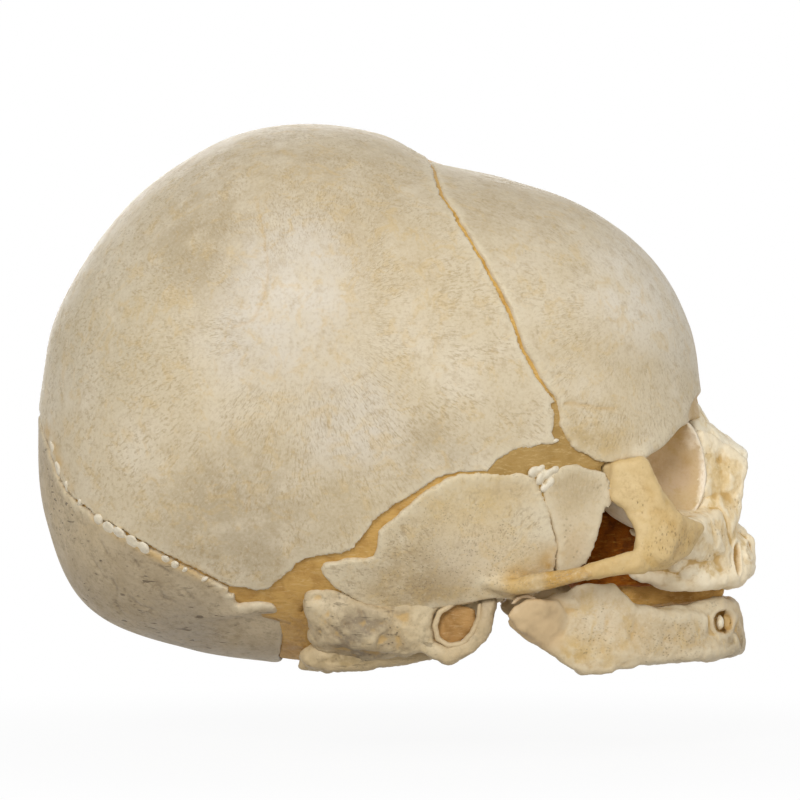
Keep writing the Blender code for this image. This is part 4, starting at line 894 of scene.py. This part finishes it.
# Main, pale and dark colour of each small bone's material, and its other settings
BONE_FINISHES = {
    # The face's main and pale colours are raised: partly the bones' own pale colour, partly painted light that lifts
    # the downward-facing face out of shade.
    "face": (((0.86, 0.68, 0.41), (0.92, 0.81, 0.60), (0.60, 0.41, 0.18)), dict(
        pits=0.5, hollow=0.9, warm=0.7, relief=1.6,
        spots=((56, 34, 5, 4, (0.72, 0.53, 0.25), 0.8), (55, 24, 4, 3, (0.72, 0.50, 0.20), 0.7),
               (57, 19, 4, 3, (0.70, 0.60, 0.42), 0.6)))),
    "cheek": (((0.56, 0.36, 0.12), (0.68, 0.51, 0.26), (0.38, 0.22, 0.07)), dict(
        warm=0.6, pits=0.6, pit_size=0.52, pit_shape=(1.3, 1, 0.6), pit_places=((47, 22, 4.5, 3),),
        hollow=0.7, relief=1.8, mottle=0.5,
        spots=((40, 19, 6, 4, (0.64, 0.47, 0.21), 0.7), (48, 22, 4, 3, (0.54, 0.38, 0.18), 0.6),
               (35, 18.5, 5, 2, (0.50, 0.285, 0.055), 1.0)))),
    "nasal": (((0.84, 0.71, 0.46), (0.91, 0.83, 0.65), (0.70, 0.48, 0.20)), dict(hollow=0.8, warm=0.8, relief=1.6)),
    "orbit": (((0.38, 0.28, 0.175), (0.44, 0.335, 0.22), (0.30, 0.20, 0.11)), dict(pits=0.15)),
    "thin": (((0.54, 0.40, 0.26), (0.62, 0.49, 0.35), (0.36, 0.23, 0.11)), dict(pits=0.2, hollow=0.5)),
    "base": (((0.42, 0.315, 0.165), (0.60, 0.47, 0.28), (0.20, 0.14, 0.07)), dict(
        pits=0.6, hollow=0.8, relief=2.2, mottle=0.6, fissures=0.4)),
    "petrous": (((0.38, 0.28, 0.16), (0.60, 0.49, 0.31), (0.15, 0.11, 0.06)), dict(
        pits=0.5, hollow=0.6, relief=2.2, mottle=0.6, fissures=0.5,
        spots=((-12, 13.5, 3.5, 2, (0.66, 0.55, 0.37), 0.9), (0, 8, 4, 2.5, (0.54, 0.41, 0.23), 0.7),
               (-6, 7, 4.5, 2, (0.24, 0.19, 0.13), 0.8), (12, 6, 5, 3, (0.46, 0.29, 0.11), 0.6)))),
    "ring": (((0.46, 0.34, 0.185), (0.58, 0.45, 0.27), (0.28, 0.18, 0.08)), dict(pits=0.2, hollow=0.6)),
}


class SmallBonesOperator(bpy.types.Operator):
    """Grows the bones of the face, the base and the ear"""
    bl_idname = "skull.small_bones"
    bl_label = "Face and Base Bones"

    def execute(self, context):
        looks = looks_of(context)
        finishes = {kind: bone_material(f"{kind}_bone", looks, *colours, **rest)
                    for kind, (colours, rest) in BONE_FINISHES.items()}
        seed = 40
        for kind, (slot, finish, grain, lumps, bars) in SMALL_BONES.items():
            nodes = [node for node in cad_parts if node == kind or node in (f"{kind}_right", f"{kind}_left")]
            for node in sorted(nodes, reverse=True):
                if finish == "ring":
                    item = grown(None, f"{node}_bone", grain / MM, 9, bars=(RING_BAR,))
                else:
                    item = grown(node, f"{node}_bone", grain / MM, 12, swell=SMALL_SWELL, lumps=lumps, bars=bars)
                soften_bone(item, seed, BONE_ROUGHNESS.get(finish, 1.0), TOOTH_PITS if kind == "maxilla" else ())
                finish_piece(item, "cranium", (node,), finishes[finish])
                seed += 9
        return {"FINISHED"}


JAW_GRAIN = 0.00028
GERM_GRAIN = 0.00015
GERM_SHRINK = 0.0005
CHIN_GRAIN = 0.00025
LINING_GRAIN = 0.0002
# Balls round the jaw's joint head: place, distance from the midline, height and radius in millimetres
CONDYLE_CAP = (
    (20, 31.5, 11.8, 0.8), (22, 31.7, 12.6, 0.8), (24.4, 31.3, 12.6, 0.8), (26.8, 29.4, 12.2, 0.9),
    (28.4, 27.4, 9.6, 0.8), (27.6, 26.8, 6.2, 0.8), (24.2, 28.8, 6.6, 1), (21, 30.6, 8.6, 0.9),
    (19.5, 31.4, 10.4, 0.8))

# Bars along the rear edge and the lower border of the jaw, and lumps between them
JAW_BARS = (
    ((24.5, 27.6, 11.6, 1.5), (27.6, 26.9, 12.4, 1.5), (30.0, 26.4, 12.4, 1.6)),
    ((22.5, 28.4, 7.8, 1.3), (26.5, 27.0, 4.7, 1.3), (30.6, 25.6, 1.8, 1.4), (36.0, 23.6, 1.8, 1.4),
     (38.5, 22.6, 2.0, 1.4), (43.0, 20.6, 2.9, 1.4), (52.0, 15.8, 3.1, 1.4), (58.0, 9.2, 3.5, 1.4),
     (60.2, 3.2, 3.4, 1.4)))
JAW_LUMPS = (
    ((37.0, 23.4, 11.6, 1.6), (37.5, 23.4, 4.0, 1.6), (44.5, 19.8, 9.6, 1.8), (44.5, 19.8, 4.6, 1.8)),
    ((44.5, 19.8, 9.4, 1.8), (44.5, 19.8, 4.6, 1.8), (52.6, 14.4, 9.0, 1.6), (52.6, 14.4, 4.8, 1.6)),
    ((52.6, 14.4, 4.8, 1.6), (44.5, 19.8, 4.6, 1.8), (52.0, 15.4, 3.4, 1.4), (59.0, 7.4, 3.8, 1.4),
     (58.6, 8.0, 5.2, 1.3)),
    CONDYLE_CAP)
# Place and reach of the joint head's top, which is drawn in to clear its socket when the jaw opens
HEAD_TOP = (20.0, 12.9, 2.2)
HEAD_CLEARANCE = 0.00035
# Place and reach of the cartilage on the joint head
HEAD_GRISTLE = (22.6, 9.2, 7.6)


class JawOperator(bpy.types.Operator):
    """Grows the two halves of the lower jaw with the cartilage between them"""
    bl_idname = "skull.jaw"
    bl_label = "Lower Jaw"

    def execute(self, context):
        looks = looks_of(context)
        jaw = bone_material(
            "jaw_bone", looks, (0.61, 0.47, 0.275), (0.71, 0.61, 0.43), (0.44, 0.30, 0.14), warm=0.5,
            pits=0.55, pit_size=0.52, pit_shape=(0.7, 1, 1.25), pit_places=((48, 5, 5, 4), (34, 6, 3, 3)), hollow=0.7,
            relief=1.5, mottle=0.45,
            bare_places=((23, 9.5, 6.5, 1.5),), gristle=(0.56, 0.41, 0.23),
            spots=((34, 10, 4, 3, (0.70, 0.61, 0.45), 0.7), (29, 3, 3, 2, (0.62, 0.44, 0.19), 0.7),
                   (34, 2, 4, 2, (0.62, 0.46, 0.22), 0.5), (48, 6, 6, 3, (0.50, 0.40, 0.25), 0.6),
                   # The dark spot at (61.5, 3.5) is painted shade where the chin turns away from the light.
                   (61.5, 3.5, 4.5, 2.5, (0.28, 0.21, 0.12), 1.0), (28, 2, 5, 3, (0.58, 0.40, 0.16), 0.8),
                   (57.2, 8.2, 2.1, 0.5, (0.46, 0.25, 0.06), 0.95)))
        cartilage = cartilage_material("joint_cartilage", (0.46, 0.31, 0.15), (0.62, 0.48, 0.31))
        germ = cartilage_material("germ_enamel", (0.60, 0.42, 0.18), (0.80, 0.72, 0.55))
        for seed, side in enumerate(SIDES):
            item = grown(f"mandible_{side}", f"mandible_{side}_bone", JAW_GRAIN, 15, bars=JAW_BARS, lumps=JAW_LUMPS)
            soften_bone(item, 300 + 9 * seed, 1.4, CRYPT_PITS)
            points = points_of(item.data)
            drawn = normals_of(item.data) * HEAD_CLEARANCE * near(points, *HEAD_TOP)[:, None]
            move_points(item.data, points - drawn)
            gristle = ramp(-near(points, *HEAD_GRISTLE) - 0.06 * rough(points, 0.003, 88), -0.72, -0.28)
            paint_points(item.data, "gristle", 1 - gristle)
            finish_piece(item, "mandible", (f"mandible_{side}",), jaw)
            item = grown(f"tooth_germ_{side}", f"tooth_germ_{side}_cap", GERM_GRAIN, 3, swell=-GERM_SHRINK)
            soften_bone(item, 320 + 9 * seed, 1.2)
            finish_piece(item, "mandible", (f"tooth_germ_{side}",), germ)
        item = grown("mandibular_symphysis", "chin_cartilage", CHIN_GRAIN, 3)
        soften_bone(item, 340, 0.5)
        finish_piece(item, "mandible", ("mandibular_symphysis",), cartilage)
        for side in SIDES:
            item = grown(f"articular_disc_{side}", f"joint_lining_{side}", LINING_GRAIN, 2)
            finish_piece(item, "cranium", (f"articular_disc_{side}",), cartilage)
        return {"FINISHED"}


MEMBRANES = ("anterior_fontanelle", "posterior_fontanelle", "sphenoidal_fontanelle_*", "mastoid_fontanelle_*",
             "sagittal_suture", "metopic_suture", "coronal_suture_*", "lambdoid_suture_*", "squamous_suture_*")


def membrane_nodes():
    """The nodes of the membranes, in pairs where there are two."""
    for name in MEMBRANES:
        kind = name.replace("_*", "")
        for side in SIDES if "*" in name else ("",):
            yield f"{kind}_membrane_{side}".rstrip("_")


def mastoid_edge():
    """Fills of the mastoid membrane between the occipital bone's end and the ear bone, a little under the form."""
    return [[(x, form_side(x, z) - under, z, 0.5) for x, z, under in places] for places in (
        ((-20.0, 5.4, 2.0), (-14.6, 4.4, 1.3), (-14.6, 9.0, 1.3), (-20.0, 9.0, 1.8)),
        ((-20.0, 9.0, 1.8), (-14.6, 9.0, 1.3), (-15.4, 11.0, 1.5), (-20.4, 11.2, 1.7)),
        ((-20.4, 2.4, 2.1), (-16.0, 1.8, 1.4), (-14.6, 4.4, 1.3), (-20.0, 5.4, 2.0)))]


MEMBRANE_GRAIN = 0.00024
SHEET_DEPTH = 0.00058
SHEET_WALL = 0.0003
# Lowest height of the sheet in the sutures along the head, in millimetres
SHEET_LOW = (
    (-66, 14), (-30, 13), (-22, 9), (-17.5, 8.2), (-16, 10.4), (-14, 13), (-9.5, 14),
    (-7, 15.4), (-4.5, 18.4), (-1.5, 22.8), (3, 28), (8, 31), (14, 32.6), (23.2, 33), (24.2, 30),
    (25, 19), (27.6, 19), (28.4, 32), (35.2, 34.6), (36.2, 41), (40, 41.5), (45, 44.5),
    (52.5, 49), (66, 60))


def suture_sheet(depth):
    """One thin sheet just under the head's surface, which shows only in the sutures."""
    bm = bmesh.new()
    bmesh.ops.create_icosphere(bm, subdivisions=7, radius=0.05)
    bmesh.ops.translate(bm, vec=Vector(form_centre()), verts=bm.verts[:])
    item = piece_of(bm, "suture_sheet")
    centre = form_centre()
    points = points_of(item.data)
    way = points - centre
    points = centre + way / form_reach(points)[:, None]
    way /= np.linalg.norm(way, axis=1)[:, None]
    points -= way * (depth + 0.00050 * near(points, 25, 28, 9) + 0.00005 * rough(points, 0.0035, 700))[:, None]
    move_points(item.data, points)
    low = np.interp(points[:, 0] * MM, *np.array(SHEET_LOW).T)
    bm = bmesh.new()
    bm.from_mesh(item.data)
    gone = {index for index in np.flatnonzero(points[:, 2] * MM < low)}
    bmesh.ops.delete(bm, geom=[vert for vert in bm.verts if vert.index in gone], context="VERTS")
    bm.to_mesh(item.data)
    bm.free()
    return thickened(item, SHEET_WALL)


class MembranesOperator(bpy.types.Operator):
    """Stretches the dried membrane over the fontanelles and behind the sutures"""
    bl_idname = "skull.membranes"
    bl_label = "Membranes"

    def execute(self, context):
        looks = looks_of(context)
        amber = membrane_material("amber_membrane", looks.amber[:], looks.amber_deep[:], looks.amber_pale[:])
        tan = membrane_material("tan_membrane", (0.44, 0.285, 0.11), (0.37, 0.23, 0.08), (0.56, 0.40, 0.20))
        line = membrane_material(
            "suture_membrane", (0.62, 0.38, 0.10), (0.50, 0.27, 0.05), (0.70, 0.50, 0.23), patches=(
                (-24, 11, 24, 6, looks.amber[:], looks.amber_deep[:]),
                (-4, 20, 20, 5, looks.amber[:], looks.amber_deep[:]),
                (25, 37, 12, 2.5, (0.43, 0.27, 0.085), (0.35, 0.21, 0.055))))
        finish_piece(suture_sheet(SHEET_DEPTH), "cranium", (), line)
        for seed, node in enumerate(membrane_nodes()):
            item = grown(node, f"{node}_sheet", MEMBRANE_GRAIN, 2, lumps=mastoid_edge() if "mastoid" in node else ())
            mesh = item.data
            points = points_of(mesh)
            out = points - form_centre()
            out /= np.linalg.norm(out, axis=1)[:, None]
            raised = np.full(len(points), looks.membrane_rise)
            if "mastoid" in node:
                raised *= 1 - ramp(points[:, 0], -0.0225, -0.0205) * ramp(-points[:, 2], -0.0150, -0.0130)
            sag = 0.00012 * rough(points, 0.0025, 400 + seed, 3)
            move_points(mesh, points + out * (sag + raised)[:, None])
            if "suture" in node and "squamous" not in node:
                finish = line
            elif "mastoid" in node or "squamous" in node:
                finish = amber
            else:
                finish = tan
            finish_piece(item, "cranium", (node,), finish)
        return {"FINISHED"}


# Dried tissue in the openings: name, grain in millimetres and lumps, made on both sides
TISSUES = (
    ("cheek_tissue", 0.35, (
        ((31, 14.5, 29, 1), (31, 14.5, 15, 1.2), (44, 14.5, 22.6, 1.2), (44, 14.5, 16, 1.2)),
        ((30.5, 20, 30, 1), (31, 14.5, 30, 1), (30, 20, 16.5, 1), (31, 14.5, 15, 1)))),
    ("ear_drum", 0.22, (
        ((9.4, 28.2, 12.2, 0.4), (6, 27.9, 9.2, 0.4), (6.3, 27.6, 5.9, 0.4), (9.6, 27.6, 4.9, 0.4),
         (12.6, 27.9, 7.6, 0.4), (12.9, 28.2, 11, 0.4)),)),
)
PALATE_TISSUE = (
    ((39, 12, 16.6, 1.2), (39, 12, 11.8, 0.9), (46, 9.5, 16.3, 1.2), (46, 9.5, 11.8, 0.9)),
    ((46, 9.5, 16.3, 1.2), (46, 9.5, 11.8, 0.9), (52, 7, 15.9, 1.2), (52, 7, 12.2, 0.9)),
    ((52, 7, 15.9, 1.2), (52, 7, 12.2, 0.9), (57, 3.5, 15.6, 1), (57, 3.5, 13, 0.8)),
)
ORBIT_WALL = 0.0005
PALATE_GRAIN = 0.0004
# The orbit's lining: middle, half lengths, and the slope and place of its open side, in millimetres
ORBIT_MIDDLE = (46.5, 20, 34.6)
ORBIT_HALVES = (13.5, 9.7, 10.4)
ORBIT_OPENING = (0.74, 0.67, 47.9)


def crumple(item, seed, size, strength):
    """Wrinkles a piece and marks its hollows for the painted shade and highlight."""
    mesh = item.data
    points = points_of(mesh)
    move_points(mesh, points + normals_of(mesh) * (strength * rough(points, size, seed, 4))[:, None])
    paint_points(mesh, "hollow", 0.5 + 0.5 * hollows(mesh, 30, 0.00016))


def orbit_bowl(name, side):
    """A thin open bowl that closes the eye socket behind and towards the nose."""
    bm = bmesh.new()
    bmesh.ops.create_icosphere(bm, subdivisions=5, radius=1)
    middle = Vector((ORBIT_MIDDLE[0], side * ORBIT_MIDDLE[1], ORBIT_MIDDLE[2])) / MM
    bmesh.ops.scale(bm, vec=Vector(ORBIT_HALVES) / MM, verts=bm.verts[:])
    bmesh.ops.translate(bm, vec=middle, verts=bm.verts[:])
    way = Vector((ORBIT_OPENING[0], side * ORBIT_OPENING[1], 0)).normalized()
    place = way * ORBIT_OPENING[2] / MM / math.hypot(*ORBIT_OPENING[:2])
    bmesh.ops.bisect_plane(bm, geom=bm.verts[:] + bm.edges[:] + bm.faces[:], dist=0.000001,
                           plane_co=place, plane_no=way, clear_outer=True)
    return thickened(piece_of(bm, name), ORBIT_WALL)


class TissuesOperator(bpy.types.Operator):
    """Lines the eye sockets, the ears, the cheeks and the mouth with dried tissue"""
    bl_idname = "skull.tissues"
    bl_label = "Dried Tissue"

    def execute(self, context):
        looks = looks_of(context)
        brown = membrane_material(
            "brown_tissue", (0.34, 0.10, 0.005), (0.14, 0.032, 0.002), (0.56, 0.28, 0.05), 0.5, gloss=0.10)
        palate = membrane_material(
            "palate_membrane", (0.72, 0.42, 0.12), (0.48, 0.25, 0.06), (0.86, 0.62, 0.28), 0.5, gloss=0.12)
        drum = membrane_material(
            "drum_membrane", (0.46, 0.26, 0.09), (0.34, 0.18, 0.055), (0.58, 0.40, 0.20), gloss=0.15)
        # The lining's colours are raised above the bone's: partly the socket's pale bone, partly painted light that
        # lifts the socket out of its shade.
        lining = bone_material(
            "orbit_lining", looks, (0.90, 0.75, 0.53), (0.94, 0.83, 0.66), (0.66, 0.46, 0.25), pits=0.1, hollow=0.6,
            relief=2.0, warm=0.4,
            spots=((49, 42, 4, 3, (0.66, 0.48, 0.26), 0.9), (48.5, 34, 3.0, 1.0, (0.86, 0.72, 0.62), 0.9),
                   (51, 27.5, 4, 2, (0.86, 0.74, 0.52), 0.9), (45.5, 35.5, 2, 1.2, (0.52, 0.31, 0.17), 0.8),
                   (50.5, 36.5, 1.0, 0.8, (0.62, 0.42, 0.24), 0.8)))
        for side, name in zip((-1, 1), SIDES):
            for kind, grain, lumps in TISSUES:
                item = grown(None, f"{kind}_{name}", grain / MM, 3, lumps=lumps)
                crumple(item, 500, 0.0030, 0.00035)
                finish_piece(item, "cranium", (), drum if kind == "ear_drum" else brown)
            item = orbit_bowl(f"orbit_lining_{name}", side)
            crumple(item, 520, 0.0062, 0.00026)
            for mark in ("stain", "rim", "inside"):
                paint_points(item.data, mark, np.zeros(len(item.data.vertices)))
            finish_piece(item, "cranium", (), lining)
        bm = bmesh.new()
        for balls in PALATE_TISSUE:
            blob(bm, balls, (-1, 1))
        item = refined(piece_of(bm, "palate_tissue"), PALATE_GRAIN, 6)
        crumple(item, 540, 0.0035, 0.00030)
        finish_piece(item, "cranium", (), palate)
        return {"FINISHED"}


ISLAND_GRAIN = 0.00015
ISLAND_HALF_THICKNESS = 0.00050
ISLAND_SUNK = 0.00020
# Small islands of bone in the sutures: place in the side view, half length, half width in millimetres and turn
# in degrees; each sits on the head's surface
ISLANDS = (
    (-49.6, 25.2, 1.7, 1.25, 52), (-47.6, 24.1, 1.8, 1.30, 58), (-45.5, 22.9, 1.7, 1.30, 55),
    (-43.5, 21.8, 1.6, 1.20, 60), (-51.3, 26.6, 1.3, 0.80, 40), (-39.8, 19.8, 1.5, 0.95, 42),
    (-38.2, 18.9, 1.4, 0.85, 36), (-36.6, 18.1, 1, 0.60, 30), (-33.2, 16.5, 1.1, 0.50, 24),
    (-59.9, 38.4, 1.9, 0.85, 80), (-58.8, 35, 1.8, 0.85, 72), (-57.2, 32.2, 1.2, 0.60, 60),
    (-54.8, 29.3, 1.2, 0.55, 46),
    (23.4, 34.9, 1.5, 1.10, 10), (24.7, 34, 1.6, 1.10, 60), (25.9, 34.6, 1.3, 1.00, 30),
    (26, 33, 1.2, 0.90, 80), (25.1, 32.2, 1, 0.75, 20), (26.9, 35.3, 1, 0.75, 0),
    (24.4, 35.5, 0.9, 0.7, 40), (27, 40.3, 0.9, 0.5, 10),
)


class IslandsOperator(bpy.types.Operator):
    """Sets the small white islands of bone in the sutures"""
    bl_idname = "skull.islands"
    bl_label = "Suture Islands"

    def execute(self, context):
        looks = looks_of(context)
        chalk = bone_material(
            "chalky_bone", looks, (0.74, 0.66, 0.50), (0.80, 0.73, 0.59), (0.56, 0.42, 0.22), pits=0.2, hollow=0.5,
            mottle=0.2, relief=1.5, warm=0.1)
        centre = Vector(form_centre())
        for side, name in zip((-1, 1), SIDES):
            bm = bmesh.new()
            for x, z, length, width, turn in ISLANDS:
                spot = Vector((x, side * form_side(x, z), z)) / MM
                out = (spot - centre).normalized()
                flat = out.to_track_quat("Y", "Z").to_matrix().to_4x4()
                shape = (Matrix.Translation(spot - out * ISLAND_SUNK) @ flat
                         @ Matrix.Rotation(math.radians(-turn * side), 4, "Y")
                         @ Matrix.Diagonal((length / MM, ISLAND_HALF_THICKNESS, width / MM, 1)))
                bmesh.ops.create_icosphere(bm, subdivisions=3, radius=1, matrix=shape)
            item = refined(piece_of(bm, f"suture_islands_{name}"), ISLAND_GRAIN, 3)
            soften_bone(item, 600, 1.3)
            finish_piece(item, "cranium", (), chalk)
        return {"FINISHED"}


FLOOR_SIZE = 6
FLOOR_HEIGHT = -0.0140  # low enough for the open jaw to stay above it
FLOOR_COLOUR = (0.62, 0.60, 0.57, 1)
SHADOW_COLOUR = (0.9, 0.9, 0.9, 1)
# Share of plain white that the camera sees near the skull and far from it, and where it changes, in millimetres
FLOOR_WHITE = (60, 160, 0.92, 1.0)
SOFT_LIGHTS = (
    ("main_light", (-0.20, -0.85, 0.42), 0.45, "key_power"),
    ("fill_light", (0.62, -0.70, 0.10), 0.7, "fill_power"),
    ("back_light", (-0.15, 0.90, 0.28), 0.6, "back_power"))
LIGHT_TARGET = (0.0, 0.0, 0.05)
ROOM_COLOUR = (0.97, 0.98, 1.0, 1)
CAMERA_PLACE = (0.00036, -0.75, 0.0472)
CAMERA_LENS = 189.6


def power_property(name, description, default):
    return bpy.props.FloatProperty(name=name, description=description, default=default, min=0, unit="POWER")


class StageProperties(bpy.types.PropertyGroup):
    """Lights of the stage."""
    key_power: power_property("Main light", "Power of the soft main light", 4.8)
    fill_power: power_property("Fill light", "Power of the soft light from the face side", 2.4)
    back_power: power_property("Back light", "Power of the soft light behind the skull", 3.2)
    ambient: bpy.props.FloatProperty(
        name="Room light", description="Strength of the even light from all round",
        default=0.42, min=0, max=2)


def soft_light(name, place, size, power):
    data = bpy.data.lights.new(name, "AREA")
    data.energy = power
    data.shape = "DISK"
    data.size = size
    item = bpy.data.objects.new(name, data)
    item.location = place
    item.rotation_euler = (Vector(LIGHT_TARGET) - Vector(place)).to_track_quat("-Z", "Y").to_euler()
    bpy.context.scene.collection.objects.link(item)


def floor_material():
    """A pale floor that the camera sees as white, with a trace of the skull's shadow."""
    board = Board("pale_floor")
    bounce = board.principled(FLOOR_COLOUR, 0.9, gloss=0.1)
    shadow = board.node("ShaderNodeBsdfDiffuse", {"Color": SHADOW_COLOUR})
    white = board.node("ShaderNodeEmission", {"Color": (1, 1, 1, 1), "Strength": 1.0})
    across, along, _ = board.axes()
    seen = board.mixed(board.step(board.distance(across, along), *FLOOR_WHITE), shadow, white)
    return board.done(board.mixed(board.backdrop_rays(), bounce, seen))


class StageOperator(bpy.types.Operator):
    """Sets up the floor, the soft lights and the camera"""
    bl_idname = "skull.stage"
    bl_label = "Stage"

    def execute(self, context):
        stage = context.scene.skull_stage
        scene = context.scene
        scene.view_settings.view_transform = "Standard"

        bm = bmesh.new()
        bmesh.ops.create_grid(bm, x_segments=1, y_segments=1, size=FLOOR_SIZE)
        bmesh.ops.translate(bm, vec=(0, 0, FLOOR_HEIGHT), verts=bm.verts[:])
        floor = piece_of(bm, "floor")
        floor.data.materials.append(floor_material())

        world = bpy.data.worlds.new("room")
        scene.world = world
        sky = Nodes(world)
        room, white = (sky.node("ShaderNodeBackground", {"Color": colour, "Strength": strength})
                       for colour, strength in ((ROOM_COLOUR, stage.ambient), ((1, 1, 1, 1), 1.0)))
        sky.node("ShaderNodeOutputWorld", {"Surface": sky.mixed(sky.backdrop_rays(), room, white)})

        for name, place, size, power in SOFT_LIGHTS:
            soft_light(name, place, size, getattr(stage, power))

        lens = bpy.data.cameras.new("camera")
        lens.lens = CAMERA_LENS
        lens.sensor_width = 36
        lens.clip_start = 0.01
        lens.clip_end = 20
        camera = bpy.data.objects.new("camera", lens)
        camera.location = CAMERA_PLACE
        camera.rotation_euler = (math.radians(90), 0, 0)
        scene.collection.objects.link(camera)
        scene.camera = camera
        return {"FINISHED"}


class SkullPanel(bpy.types.Panel):
    """Lists the skull's pieces and settings"""
    bl_idname = "SKULL_PT_pieces"
    bl_label = "Fetal Skull"
    bl_space_type = "VIEW_3D"
    bl_region_type = "UI"
    bl_category = "Skull"

    def draw(self, context):
        for kind in PIECE_OPERATORS:
            self.layout.operator(kind.bl_idname)
        for group in (context.scene.skull_looks, context.scene.skull_stage):
            box = self.layout.box()
            for key in type(group).__annotations__:
                box.prop(group, key)


PIECE_OPERATORS = (
    VaultOperator, SmallBonesOperator, JawOperator, MembranesOperator, TissuesOperator, IslandsOperator, StageOperator)
CLASSES = (SkullLooks, StageProperties, *PIECE_OPERATORS, SkullPanel)


def register():
    for kind in CLASSES:
        bpy.utils.register_class(kind)
    bpy.types.Scene.skull_looks = bpy.props.PointerProperty(type=SkullLooks)
    bpy.types.Scene.skull_stage = bpy.props.PointerProperty(type=StageProperties)


def unregister():
    del bpy.types.Scene.skull_stage
    del bpy.types.Scene.skull_looks
    for kind in reversed(CLASSES):
        bpy.utils.unregister_class(kind)


def main():
    register()
    bpy.ops.skull.vault()
    bpy.ops.skull.small_bones()
    bpy.ops.skull.jaw()
    bpy.ops.skull.membranes()
    bpy.ops.skull.tissues()
    bpy.ops.skull.islands()
    bpy.ops.skull.stage()


if __name__ == "__main__":
    main()
